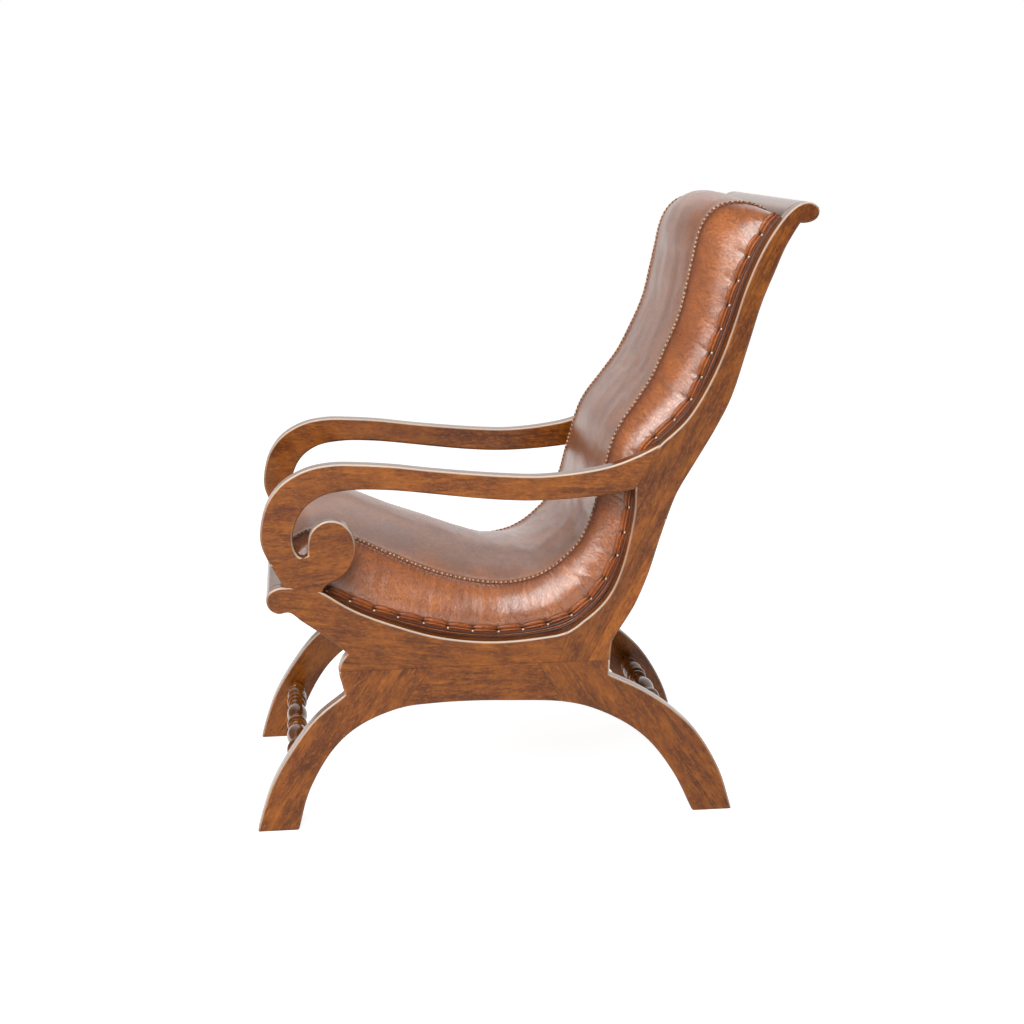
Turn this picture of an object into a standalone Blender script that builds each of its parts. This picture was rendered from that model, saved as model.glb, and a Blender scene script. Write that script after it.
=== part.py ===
"""Lounge chair with scrolled arms: two flat side frames of shaped hardwood boards, joined by rails
and turned stretchers, with one leather pad that runs as a sling from the front rail to the crest.

Metres, +Z up. The sitter faces -Y, and the sitter's left is +X. The origin is on the floor, under
the middle of the chair. Outlines of the side frame are drawn in the Y,Z plane as shares of the
chair's depth and height, so (-0.5, 0) is the front toe and (0.5, 1) the back of the crest.
"""

import math

import bmesh
import bpy
from mathutils import Matrix, Vector

# Overall size of the wooden frame
WIDTH = 0.634
DEPTH = 0.906
HEIGHT = 0.965

# Side frames and the gap that a glued joint leaves
BOARD = 0.034
JOINT_GAP = 0.0003
OVERRUN = 0.004
CURVE_STEP = 0.0165
SHARP_ANGLE = math.radians(40)

# Loose tenons hidden in the joints
TENON_THICKNESS = 0.010
TENON_WIDTH = 0.020
TENON_REACH = 0.014

# Rails between the side frames
FRONT_RAIL_DEPTH = 0.036
CROSS_RAIL = 0.018
CREST_DROP = 0.058
CREST_THICKNESS = 0.024

# Turned stretchers
STRETCHER_RADIUS = 0.0175
STRETCHER_TENON_RADIUS = 0.010
STRETCHER_TENON_LENGTH = 0.016
FRONT_STRETCHER_HEIGHT = 0.092
REAR_STRETCHER_HEIGHT = 0.112
TURNING_SIDES = 12

# Upholstery
SHELL = 0.008
SHELL_CLEARANCE = 0.0005
PAD_HEIGHT = 0.075
PAD_STEP = 0.034
LACE_INSET = 0.045
LACE_TAPER = 0.036
CROWN = 0.046
BULGE = 0.009
LEATHER = 0.002
WADDING = 0.0015
LACE_RADIUS = 0.0022
WELT_RADIUS = 0.0035
WELT_CLEARANCE = 0.005
NAIL_PITCH = 0.040
NAIL_STEPS = 8
PINCH_share = 0.72
COVER = 0.003

# Outlines of the side frame: each is smooth from end to end
LEG_FRONT_shares = (
    (-0.340, 0.224), (-0.391, 0.187), (-0.439, 0.130), (-0.472, 0.077), (-0.491, 0.029), (-0.500, 0.000),
)
ARCH_shares = (
    (-0.428, 0.000), (-0.407, 0.065), (-0.363, 0.133), (-0.317, 0.170), (-0.245, 0.197),
    (-0.182, 0.203), (-0.119, 0.204), (-0.056, 0.202), (0.039, 0.196),
    (0.092, 0.183), (0.155, 0.152), (0.196, 0.118), (0.238, 0.060), (0.267, 0.000),
)
LEG_REAR_shares = (
    (0.337, 0.000), (0.316, 0.068), (0.278, 0.133), (0.235, 0.175), (0.181, 0.211), (0.123, 0.239),
)
CRADLE_shares = (
    (-0.372, 0.395), (-0.318, 0.363), (-0.253, 0.337), (-0.172, 0.313), (-0.082, 0.302), (-0.001, 0.305),
    (0.051, 0.313), (0.079, 0.330), (0.107, 0.351), (0.129, 0.376), (0.148, 0.415), (0.162, 0.461),
    (0.173, 0.515), (0.174, 0.544),
)
POST_FRONT_shares = (
    (0.219, 0.616), (0.263, 0.652), (0.295, 0.694), (0.326, 0.750), (0.349, 0.805), (0.369, 0.859),
    (0.394, 0.912), (0.422, 0.956), (0.451, 0.988), (0.474, 1.000), (0.489, 0.999), (0.4995, 0.991),
    (0.4995, 0.979), (0.492, 0.971), (0.479, 0.967), (0.467, 0.967),
)
POST_BACK_shares = (
    (0.467, 0.967), (0.442, 0.930), (0.422, 0.889), (0.400, 0.842), (0.373, 0.766), (0.344, 0.688),
    (0.315, 0.637), (0.280, 0.585), (0.247, 0.535), (0.230, 0.497), (0.214, 0.456), (0.195, 0.404),
    (0.169, 0.351), (0.143, 0.314), (0.130, 0.295), (0.125, 0.263),
)
ARM_TOP_shares = (
    (0.219, 0.616), (0.177, 0.598), (0.132, 0.584), (0.088, 0.577), (0.043, 0.573), (0.002, 0.572),
    (-0.061, 0.576), (-0.123, 0.582), (-0.184, 0.589), (-0.245, 0.597), (-0.307, 0.602), (-0.348, 0.603),
    (-0.392, 0.596), (-0.434, 0.575), (-0.461, 0.544), (-0.474, 0.503), (-0.474, 0.477), (-0.460, 0.444),
    (-0.438, 0.406),
)
ARM_UNDER_shares = (
    (0.174, 0.544), (0.131, 0.538), (0.065, 0.533), (-0.006, 0.532), (-0.068, 0.536), (-0.130, 0.543),
    (-0.192, 0.551), (-0.254, 0.558), (-0.319, 0.560), (-0.368, 0.552), (-0.401, 0.530), (-0.418, 0.497),
    (-0.419, 0.474), (-0.412, 0.457), (-0.402, 0.452),
)
VOLUTE_shares = (
    (-0.402, 0.452), (-0.395, 0.456), (-0.395, 0.468), (-0.389, 0.493), (-0.372, 0.508), (-0.354, 0.512),
    (-0.334, 0.507), (-0.318, 0.490), (-0.312, 0.469), (-0.316, 0.448), (-0.328, 0.428), (-0.348, 0.413),
    (-0.366, 0.405), (-0.372, 0.395),
)
EAR_shares = (
    (-0.438, 0.406), (-0.455, 0.403), (-0.467, 0.394), (-0.469, 0.382), (-0.463, 0.369), (-0.449, 0.362),
    (-0.433, 0.364),
)
RAIL_UNDER_shares = ((-0.433, 0.364), (-0.385, 0.332), (-0.342, 0.301), (-0.334, 0.291))
WAIST_shares = ((-0.334, 0.291), (-0.344, 0.279), (-0.349, 0.263), (-0.345, 0.245), (-0.340, 0.224))

# Ends of the seams that don't lie on an outline
ARCH_TOP_FRONT_shares = (-0.188, 0.263)
ARCH_TOP_REAR_shares = (-0.002, 0.263)
RAIL_END_shares = (0.034, 0.263)
STRIP_FOOT_shares = (0.086, 0.263)

# The pad: place of its edge on the frame, then the lace seam's rise off it and lean along it as
# shares of the pad's height, then the top panel's crown as a share of the highest crown
PAD_shares = (
    (-0.433, 0.4085, 0.08, -0.03, 0.05), (-0.428, 0.4080, 0.38, -0.16, 0.25), (-0.424, 0.4075, 0.68, -0.20, 0.45),
    (-0.418, 0.4060, 0.93, -0.12, 0.55), (-0.405, 0.4020, 1.10, -0.03, 0.62), (-0.372, 0.389, 1.20, 0.00, 0.74),
    (-0.289, 0.353, 1.19, 0.00, 0.88), (-0.203, 0.328, 1.07, 0.00, 1.00), (-0.121, 0.311, 1.01, 0.00, 0.90),
    (-0.050, 0.307, 0.97, 0.00, 0.74), (0.014, 0.314, 0.98, 0.00, 0.54), (0.068, 0.331, 1.02, 0.00, 0.34),
    (0.111, 0.367, 0.96, 0.00, 0.24), (0.146, 0.420, 0.81, 0.00, 0.17), (0.166, 0.477, 0.71, 0.00, 0.13),
    (0.178, 0.539, 0.62, 0.00, 0.12), (0.201, 0.601, 0.64, 0.00, 0.12), (0.243, 0.639, 0.77, 0.00, 0.12),
    (0.283, 0.681, 0.84, 0.00, 0.12), (0.310, 0.734, 0.81, 0.00, 0.12), (0.338, 0.796, 0.79, 0.00, 0.13),
    (0.364, 0.862, 0.88, 0.00, 0.18), (0.395, 0.925, 1.04, 0.04, 0.33), (0.412, 0.948, 0.97, -0.01, 0.38),
    (0.424, 0.964, 0.75, -0.04, 0.32), (0.432, 0.972, 0.49, -0.04, 0.20), (0.438, 0.978, 0.12, 0.00, 0.05),
)
SHELL_FIRST_ROW = 3
FOAM_FIRST_ROW = 2
FOAM_LAST_ROW = 24
NOSE_ROWS = 4
TAPER_ROWS = (14.5, 20.0)
BOXING_SPANS = 4
PANEL_shares = (1.0, 0.83, 0.55, 0.28, 0.0, -0.28, -0.55, -0.83, -1.0)
FOAM_TOP_shares = (1.0, 0.9, 0.5)

# Where the cross rails lie along the pad's rows, as first and last row
CROSS_RAIL_ROWS = {
    "seat_cross_rail_front": (6.55, 7.25),
    "seat_cross_rail_rear": (8.9, 9.65),
    "back_cross_rail_lower": (14.0, 14.8),
    "back_cross_rail_upper": (19.2, 20.0),
}

# The same for the cloth under the seat and the leather behind the back
COVER_ROWS = {"dust_cover": (4.0, 10.05), "back_cover": (13.0, 21.0)}

# Half of a stretcher, from its middle to its shoulder: share of the half length, share of the radius
TURNING_shares = (
    (0.000, 0.97), (0.030, 0.97), (0.048, 0.72), (0.062, 0.86), (0.078, 0.86), (0.092, 0.58),
    (0.150, 0.62), (0.270, 1.00), (0.360, 0.88), (0.480, 0.56), (0.500, 0.83), (0.522, 0.83),
    (0.540, 0.60), (0.560, 0.98), (0.600, 0.98), (0.620, 0.62), (0.720, 0.95), (0.790, 0.88),
    (0.880, 0.58), (0.900, 0.84), (0.922, 0.84), (0.940, 0.70), (1.000, 0.70),
)

SIDES = ((1, "left"), (-1, "right"))
INNER = WIDTH / 2 - BOARD
BOARD_MIDDLE = WIDTH / 2 - BOARD / 2


# Scene, collections and materials

def clear_scene():
    for obj in list(bpy.data.objects):
        bpy.data.objects.remove(obj, do_unlink=True)


def new_collection(name):
    collection = bpy.data.collections.new(name)
    bpy.context.scene.collection.children.link(collection)
    return collection


def new_material(name, colour, roughness, metallic=0.0):
    material = bpy.data.materials.new(name)
    material.use_nodes = True
    surface = material.node_tree.nodes["Principled BSDF"]
    surface.inputs["Base Color"].default_value = (*colour, 1.0)
    surface.inputs["Roughness"].default_value = roughness
    surface.inputs["Metallic"].default_value = metallic
    material.diffuse_color = (*colour, 1.0)
    return material


def add_object(name, data, material, collection):
    obj = bpy.data.objects.new(name, data)
    data.materials.append(material)
    collection.objects.link(obj)
    return obj


# Plane geometry of the outlines

def place(share):
    return Vector((share[0] * DEPTH, share[1] * HEIGHT))


def spline_spans(rows, step):
    """Smooth curve through rows of numbers (centripetal Catmull-Rom), one list of samples per span."""
    ghosts = [rows[0] * 2 - rows[1], *rows, rows[-1] * 2 - rows[-2]]
    spans = []
    for before, start, end, after in zip(ghosts, ghosts[1:], ghosts[2:], ghosts[3:]):
        knots = [0.0]
        for a, b in ((before, start), (start, end), (end, after)):
            knots.append(knots[-1] + math.sqrt((b - a).length))
        count = max(1, math.ceil((end - start).length / step))
        samples = []
        for index in range(count + 1):
            t = knots[1] + (knots[2] - knots[1]) * index / count
            layer = [before, start, end, after]
            for width in (1, 2, 3):
                layer = [
                    blend_knots(layer[i], layer[i + 1], *knot_pair(knots, i, width), t)
                    for i in range(len(layer) - 1)
                ]
            samples.append(layer[0])
        spans.append(samples)
    return spans


def knot_pair(knots, index, width):
    """Knots between which one layer of the spline's pyramid blends."""
    if width == 1:
        return knots[index], knots[index + 1]
    if width == 2:
        return knots[index], knots[index + 2]
    return knots[1], knots[2]


def blend_knots(a, b, low, high, t):
    return a * ((high - t) / (high - low)) + b * ((t - low) / (high - low))


def line(shares):
    return spline_spans([place(share) for share in shares], CURVE_STEP)


def stretch(spans, first, last):
    """Points of a smooth line from one of its drawn points to another, in that order."""
    low, high = min(first, last), max(first, last)
    points = [spans[low][0]]
    for span in spans[low:high]:
        points.extend(span[1:])
    return points if first < last else points[::-1]


def whole(spans):
    return stretch(spans, 0, len(spans))


def outline(*runs):
    """Closed outline from runs of points that meet at corners. A run marked as a seam moves inwards by
    half the joint gap, so that two boards that share it stay the gap apart."""
    area = 0.0
    ring = [point for _, points in runs for point in points[:-1]]
    for a, b in zip(ring, ring[1:] + ring[:1]):
        area += a.x * b.y - b.x * a.y
    turn = 1.0 if area > 0 else -1.0
    lines = []
    for kind, points in runs:
        along = (points[-1] - points[0]).normalized()
        inward = Vector((-along.y, along.x)) * turn * JOINT_GAP / 2
        lines.append((points[0] + inward, along) if kind == "seam" else None)
    result = []
    for index, (kind, points) in enumerate(runs):
        previous, own = lines[index - 1], lines[index]
        corner = points[0]
        if own and previous:
            corner = crossing(own, previous)
        elif own:
            corner = own[0]
        elif previous:
            before = runs[index - 1][1]
            corner = previous[0] + (before[-1] - before[0])
        result.append(corner)
        result.extend(points[1:-1])
    return result if turn > 0 else result[::-1]


def crossing(first, second):
    """Where two lines meet, each a point and a direction."""
    (p, d), (q, e) = first, second
    across = d.x * e.y - d.y * e.x
    gap = q - p
    return p + d * ((gap.x * e.y - gap.y * e.x) / across)


# Solids

def board(name, points, x, thickness, material, collection):
    """Flat piece with an outline in the Y,Z plane, centred on x. It is a mesh, so that it can be cut."""
    data = bpy.data.curves.new(name, "CURVE")
    data.dimensions = "2D"
    data.fill_mode = "BOTH"
    data.extrude = thickness / 2
    spline = data.splines.new("POLY")
    spline.points.add(len(points) - 1)
    for target, point in zip(spline.points, points):
        target.co = (point.x, point.y, 0.0, 1.0)
    spline.use_cyclic_u = True
    drawn = bpy.data.objects.new(name + "_outline", data)
    drawn.rotation_euler = (math.pi / 2, 0.0, math.pi / 2)
    drawn.location.x = x
    collection.objects.link(drawn)
    bpy.context.view_layer.update()
    graph = bpy.context.evaluated_depsgraph_get()
    mesh = bpy.data.meshes.new_from_object(drawn.evaluated_get(graph))
    mesh.name = name
    matrix = drawn.matrix_world.copy()
    bpy.data.objects.remove(drawn, do_unlink=True)
    shape = bmesh.new()
    shape.from_mesh(mesh)
    bmesh.ops.remove_doubles(shape, verts=shape.verts, dist=JOINT_GAP / 10)
    shape.to_mesh(mesh)
    shape.free()
    mesh.materials.clear()
    obj = add_object(name, mesh, material, collection)
    obj.matrix_world = matrix
    mesh.shade_smooth()
    mesh.set_sharp_from_angle(angle=SHARP_ANGLE)
    return obj


def box(name, size, matrix, material, collection):
    mesh = bpy.data.meshes.new(name)
    shape = bmesh.new()
    bmesh.ops.create_cube(shape, size=1.0, matrix=Matrix.Diagonal((*size, 1.0)))
    shape.to_mesh(mesh)
    shape.free()
    obj = add_object(name, mesh, material, collection)
    obj.matrix_world = matrix
    return obj


def cylinder(name, radius, length, matrix, material, collection):
    """Round bar along its local Z."""
    mesh = bpy.data.meshes.new(name)
    shape = bmesh.new()
    bmesh.ops.create_cone(
        shape, cap_ends=True, segments=TURNING_SIDES, radius1=radius, radius2=radius, depth=length
    )
    shape.to_mesh(mesh)
    shape.free()
    obj = add_object(name, mesh, material, collection)
    obj.matrix_world = matrix
    return obj


def hide_helper(obj):
    obj.hide_render = True
    obj.display_type = "WIRE"
    return obj


def combine(obj, other, operation):
    modifier = obj.modifiers.new(operation.lower(), "BOOLEAN")
    modifier.operation = operation
    modifier.solver = "EXACT"
    modifier.object = other


def loft(name, sections, material, collection):
    """Closed body through closed sections of as many points each, capped at both ends."""
    shape = bmesh.new()
    rings = [[shape.verts.new(point) for point in section] for section in sections]
    for ring, following in zip(rings, rings[1:]):
        for index, vertex in enumerate(ring):
            after = (index + 1) % len(ring)
            shape.faces.new((vertex, ring[after], following[after], following[index]))
    shape.faces.new(rings[0][::-1])
    shape.faces.new(rings[-1])
    bmesh.ops.triangulate(shape, faces=[face for face in shape.faces if len(face.verts) > 4])
    bmesh.ops.recalc_face_normals(shape, faces=shape.faces)
    mesh = bpy.data.meshes.new(name)
    shape.to_mesh(mesh)
    shape.free()
    mesh.shade_smooth()
    mesh.set_sharp_from_angle(angle=SHARP_ANGLE)
    return add_object(name, mesh, material, collection)


def tube(name, points, radii, radius, material, collection):
    """Round cord with filled ends. radii are shares of its radius, one for each point."""
    data = bpy.data.curves.new(name, "CURVE")
    data.dimensions = "3D"
    data.bevel_depth = radius
    data.bevel_resolution = 1
    data.use_fill_caps = True
    spline = data.splines.new("POLY")
    spline.points.add(len(points) - 1)
    for target, point, share in zip(spline.points, points, radii):
        target.co = (*point, 1.0)
        target.radius = share
    return add_object(name, data, material, collection)


# Joinery

def seam_frame(sign, start, end, share):
    """Frame at a share of a seam: local X across the board, Y along the seam, Z across it."""
    along = (end - start).normalized()
    middle = start + (end - start) * share
    axes = (Vector((1.0, 0.0, 0.0)), Vector((0.0, along.x, along.y)), Vector((0.0, -along.y, along.x)))
    matrix = Matrix.Identity(4)
    for column, axis in enumerate(axes):
        matrix.col[column] = (*axis, 0.0)
    matrix.col[3] = (sign * BOARD_MIDDLE, middle.x, middle.y, 1.0)
    return matrix


def loose_tenon(name, matrix, boards, wood, chair, helpers):
    """A flat slip of wood glued half into each of two boards, in a pocket that is the joint gap wider."""
    size = Vector((TENON_THICKNESS, TENON_WIDTH, 2 * TENON_REACH))
    box(name, size, matrix, wood, chair)
    room = size + Vector((2 * JOINT_GAP, 2 * JOINT_GAP, 2 * JOINT_GAP))
    pocket = hide_helper(box(name + "_pocket", room, matrix, wood, helpers))
    for piece in boards:
        combine(piece, pocket, "DIFFERENCE")


def side_frame(sign, side, wood, chair, helpers):
    """The eight glued boards of one side, by name."""
    leg_front, arch, leg_rear = line(LEG_FRONT_shares), line(ARCH_shares), line(LEG_REAR_shares)
    cradle, post_front, post_back = line(CRADLE_shares), line(POST_FRONT_shares), line(POST_BACK_shares)
    arm_top, arm_under, volute = line(ARM_TOP_shares), line(ARM_UNDER_shares), line(VOLUTE_shares)
    ear, rail_under, waist = line(EAR_shares), line(RAIL_UNDER_shares), line(WAIST_shares)
    arch_front, arch_rear = place(ARCH_TOP_FRONT_shares), place(ARCH_TOP_REAR_shares)
    rail_end, strip_foot = place(RAIL_END_shares), place(STRIP_FOOT_shares)
    bump = waist[2][0]
    arch_start, arch_end = arch[4][0], arch[8][0]
    rail_top = cradle[6][0]
    corner, arm_root = whole(cradle)[-1], whole(arm_top)[0]
    strip_top, post_foot = post_back[9][0], whole(post_back)[-1]
    cusp, shoulder, notch = whole(arm_under)[-1], arm_top[17][0], whole(arm_top)[-1]
    cradle_start = whole(cradle)[0]

    shapes = {
        "front_leg": (
            ("edge", stretch(waist, 2, 4)),
            ("edge", whole(leg_front)),
            ("edge", [whole(leg_front)[-1], whole(arch)[0]]),
            ("edge", stretch(arch, 0, 4)),
            ("seam", [arch_start, arch_front]),
            ("seam", [arch_front, bump]),
        ),
        "arch_block": (
            ("edge", stretch(arch, 4, 8)),
            ("seam", [arch_end, arch_rear]),
            ("seam", [arch_rear, arch_front]),
            ("seam", [arch_front, arch_start]),
        ),
        "rear_leg": (
            ("edge", stretch(arch, 8, 13)),
            ("edge", [whole(arch)[-1], whole(leg_rear)[0]]),
            ("edge", whole(leg_rear)),
            ("edge", [whole(leg_rear)[-1], post_foot]),
            ("seam", [post_foot, arch_rear]),
            ("seam", [arch_rear, arch_end]),
        ),
        "seat_rail": (
            ("edge", stretch(waist, 0, 2)),
            ("seam", [bump, rail_end]),
            ("seam", [rail_end, rail_top]),
            ("edge", stretch(cradle, 6, 0)),
            ("seam", [cradle_start, notch]),
            ("edge", whole(ear)),
            ("edge", whole(rail_under)),
        ),
        "back_post": (
            ("seam", [rail_end, strip_foot]),
            ("seam", [strip_foot, strip_top]),
            ("edge", stretch(post_back, 9, 0)),
            ("edge", whole(post_front)[::-1]),
            ("seam", [arm_root, corner]),
            ("edge", stretch(cradle, 13, 6)),
            ("seam", [rail_top, rail_end]),
        ),
        "back_post_strip": (
            ("seam", [strip_foot, post_foot]),
            ("edge", stretch(post_back, 15, 9)),
            ("seam", [strip_top, strip_foot]),
        ),
        "arm": (
            ("seam", [corner, arm_root]),
            ("edge", stretch(arm_top, 0, 17)),
            ("seam", [shoulder, cusp]),
            ("edge", whole(arm_under)[::-1]),
        ),
        "arm_scroll": (
            ("seam", [cusp, shoulder]),
            ("edge", stretch(arm_top, 17, 18)),
            ("seam", [notch, cradle_start]),
            ("edge", whole(volute)[::-1]),
        ),
    }
    boards = {
        name: board(f"{name}_{side}", outline(*runs), sign * BOARD_MIDDLE, BOARD, wood, chair)
        for name, runs in shapes.items()
    }
    seams = {
        "leg_to_rail_tenon": ("front_leg", "seat_rail", bump, arch_front, 0.5),
        "leg_to_arch_tenon": ("front_leg", "arch_block", arch_start, arch_front, 0.5),
        "arch_to_rear_leg_tenon": ("arch_block", "rear_leg", arch_end, arch_rear, 0.5),
        "rail_to_post_tenon": ("seat_rail", "back_post", rail_top, rail_end, 0.4),
        "rear_leg_to_post_tenon": ("rear_leg", "back_post", rail_end, strip_foot, 0.66),
        "arm_to_post_tenon": ("arm", "back_post", corner, arm_root, 0.5),
        "arm_to_scroll_tenon": ("arm", "arm_scroll", shoulder, cusp, 0.5),
        "scroll_to_rail_tenon": ("arm_scroll", "seat_rail", notch, cradle_start, 0.45),
    }
    for name, (first, second, start, end, share) in seams.items():
        matrix = seam_frame(sign, start, end, share)
        loose_tenon(f"{name}_{side}", matrix, (boards[first], boards[second]), wood, chair, helpers)
    return boards


def shaped_rail(name, points, joint, along, frames, wood, chair, helpers):
    """A rail of one outline between the side frames, held by a loose tenon at each end, whose width
    lies along a direction in the Y,Z plane."""
    rail = board(name, points, 0.0, 2 * (INNER - JOINT_GAP), wood, chair)
    for sign, side in SIDES:
        matrix = Matrix.Identity(4)
        matrix.col[0] = (0.0, along.y, -along.x, 0.0)
        matrix.col[1] = (0.0, along.x, along.y, 0.0)
        matrix.col[2] = (1.0, 0.0, 0.0, 0.0)
        matrix.col[3] = (sign * INNER, joint.x, joint.y, 1.0)
        loose_tenon(f"{name}_tenon_{side}", matrix, (rail, frames[side]), wood, chair, helpers)
    return rail


def front_rail(frames, wood, chair, helpers):
    """Rounded rail that runs on from the ears of the two side frames."""
    ear = whole(line(EAR_shares))
    back = min(point.x for point in ear) + FRONT_RAIL_DEPTH
    points = [*ear, Vector((back, ear[-1].y)), Vector((back, ear[0].y))]
    joint = Vector((back - FRONT_RAIL_DEPTH / 2, (ear[0].y + ear[-1].y) / 2))
    carriers = {side: frames[side]["seat_rail"] for _, side in SIDES}
    return shaped_rail("front_rail", points, joint, Vector((1.0, 0.0)), carriers, wood, chair, helpers)


def crest_rail(rows, frames, wood, chair, helpers):
    """Rolled top rail: the posts' scroll outside, and the back of the pad's shell inside."""
    front, back = line(POST_FRONT_shares), line(POST_BACK_shares)
    roll = stretch(front, 8, 15) + stretch(back, 0, 1)[1:]
    upper = [i for i, row in enumerate(rows) if row.rim.y > whole(front)[-1].y - CREST_DROP]
    face = [rows[i].rim - shell_normal(rows, i) * (SHELL + JOINT_GAP) for i in upper]
    middle = upper[len(upper) // 2 - 1]
    joint = rows[middle].rim - shell_normal(rows, middle) * (SHELL + CREST_THICKNESS / 2)
    along = (face[-1] - face[0]).normalized()
    carriers = {side: frames[side]["back_post"] for _, side in SIDES}
    return shaped_rail("crest_rail", [*face, *roll], joint, along, carriers, wood, chair, helpers)


def stretcher(name, height, first, second, legs, wood, chair, helpers):
    """Turned bar between two legs, its round tenons in blind holes. It stands midway across the leg,
    between the two outlines that bound the leg."""
    across = [crossing_height(points, height) for points in (first, second)]
    y = sum(across) / 2
    shoulder = INNER - JOINT_GAP
    half = [(share * shoulder, radius * STRETCHER_RADIUS) for share, radius in TURNING_shares]
    end = shoulder + STRETCHER_TENON_LENGTH
    half += [(shoulder, STRETCHER_TENON_RADIUS), (end, STRETCHER_TENON_RADIUS), (end, 0.0)]
    profile = [(-along, radius) for along, radius in half[::-1]] + half[1:]
    mesh = bpy.data.meshes.new(name)
    shape = bmesh.new()
    ring = [shape.verts.new((radius, 0.0, along)) for along, radius in profile[::-1]]
    for a, b in zip(ring, ring[1:]):
        shape.edges.new((a, b))
    shape.to_mesh(mesh)
    shape.free()
    bar = add_object(name, mesh, wood, chair)
    screw = bar.modifiers.new("turning", "SCREW")
    screw.steps = TURNING_SIDES
    screw.render_steps = TURNING_SIDES
    screw.use_merge_vertices = True
    screw.merge_threshold = JOINT_GAP / 10
    bar.matrix_world = Matrix.Translation((0.0, y, height)) @ Matrix.Rotation(math.pi / 2, 4, "Y")
    for sign, side in SIDES:
        depth = STRETCHER_TENON_LENGTH + JOINT_GAP
        middle = INNER + (depth - OVERRUN) / 2
        matrix = Matrix.Translation((sign * middle, y, height)) @ Matrix.Rotation(math.pi / 2, 4, "Y")
        hole = cylinder(
            f"{name}_hole_{side}", STRETCHER_TENON_RADIUS + JOINT_GAP, depth + OVERRUN, matrix, wood, helpers
        )
        combine(legs[side], hide_helper(hole), "DIFFERENCE")
    return bar


def crossing_height(points, height):
    """Y where a line of points passes a height."""
    for a, b in zip(points, points[1:]):
        if min(a.y, b.y) <= height <= max(a.y, b.y) and a.y != b.y:
            return a.x + (b.x - a.x) * (height - a.y) / (b.y - a.y)
    return points[-1].x


# Upholstery

class Row:
    """One station along the pad: the edge on the frame, the way up to the lace seam, and the way
    out, square to the lace seam."""

    def __init__(self, mark, rim, lace, crown):
        self.mark = mark
        self.rim = rim
        self.lace = lace
        self.crown = crown
        self.out = None
        self.height = (lace - rim).length
        self.up = (lace - rim).normalized()

    def at(self, rise):
        return self.rim + self.up * rise

    def point(self, x, rise):
        flat = self.at(rise)
        return Vector((x, flat.x, flat.y))

    def over(self, x, lift):
        """Point that stands off the lace seam's line."""
        flat = self.lace + self.out * lift
        return Vector((x, flat.x, flat.y))


def pad_rows(step, first=0, last=len(PAD_shares) - 1):
    """Stations of the pad between two of its drawn rows, which may be fractions."""
    rims = [place(row) for row in PAD_shares]
    drawn = []
    for index, row in enumerate(PAD_shares):
        before, after = rims[max(index - 1, 0)], rims[min(index + 1, len(rims) - 1)]
        along = (after - before).normalized()
        up = Vector((-along.y, along.x))
        lace = rims[index] + (up * row[2] + along * row[3]) * PAD_HEIGHT
        drawn.append(Vector((*rims[index], *lace, row[4] * CROWN)))
    spans = spline_spans(drawn, step)
    stations = []
    for index, span in enumerate(spans):
        for k, sample in enumerate(span[:-1]):
            stations.append((index + k / (len(span) - 1), sample))
    stations.append((len(spans), spans[-1][-1]))
    inside = [pair for pair in stations if first < pair[0] < last]
    ends = [(mark, sample_at(stations, mark)) for mark in (first, last)]
    rows = [Row(mark, s.xy, Vector(s[2:4]), s[4]) for mark, s in (ends[0], *inside, ends[1])]
    for index, row in enumerate(rows):
        before, after = rows[max(index - 1, 0)], rows[min(index + 1, len(rows) - 1)]
        along = (after.lace - before.lace).normalized()
        row.out = Vector((-along.y, along.x))
    return rows


def sample_at(stations, mark):
    for (low, a), (high, b) in zip(stations, stations[1:]):
        if low <= mark <= high:
            return a.lerp(b, (mark - low) / (high - low))
    return stations[-1][1]


def shell_normal(rows, index):
    """Direction square to the pad's edge line, away from the sitter's side."""
    before, after = rows[max(index - 1, 0)], rows[min(index + 1, len(rows) - 1)]
    along = (after.rim - before.rim).normalized()
    return Vector((-along.y, along.x))


def sheet(name, rows, half_width, low, high, material, collection):
    """Curved sheet under the pad, between two depths below its edge line."""
    sections = []
    for index, row in enumerate(rows):
        up = shell_normal(rows, index)
        near, far = row.rim + up * high, row.rim + up * low
        sections.append([
            (half_width, near.x, near.y), (-half_width, near.x, near.y),
            (-half_width, far.x, far.y), (half_width, far.x, far.y),
        ])
    return loft(name, sections, material, collection)


def welt_x():
    return INNER - WELT_CLEARANCE - WELT_RADIUS


def lace_x(row):
    """Where the lace seam lies across the chair: the top of the back is narrower than the seat."""
    first, last = TAPER_ROWS
    share = min(1.0, max(0.0, (row.mark - first) / (last - first)))
    return INNER - LACE_INSET - LACE_TAPER * share * share * (3.0 - 2.0 * share)


def boxing_profile(row, inset):
    """Side of the pad at a station, from the welt up to the lace: points of x and rise, set in by
    inset along the side's own normal."""
    foot = Vector((welt_x() - WELT_RADIUS - WADDING, LEATHER + 2 * JOINT_GAP))
    head = Vector((lace_x(row) + LACE_RADIUS + LEATHER + JOINT_GAP, row.height))
    fullness = min(1.0, row.height / PAD_HEIGHT)
    points = []
    for k in range(BOXING_SPANS + 1):
        share = k / BOXING_SPANS
        swell = BULGE * fullness * math.sin(math.pi * share)
        middle = foot.lerp(head, share)
        slope = (head - foot) + Vector((BULGE * fullness * math.pi * math.cos(math.pi * share), 0.0))
        inward = Vector((-slope.y, slope.x)).normalized()
        points.append(middle + Vector((swell, 0.0)) + inward * inset)
    return points


def crown_lift(row, x, half_width):
    """How far the top panel stands off the lace seam's line at x."""
    return row.crown * (1.0 - (x / half_width) ** 2)


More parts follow.
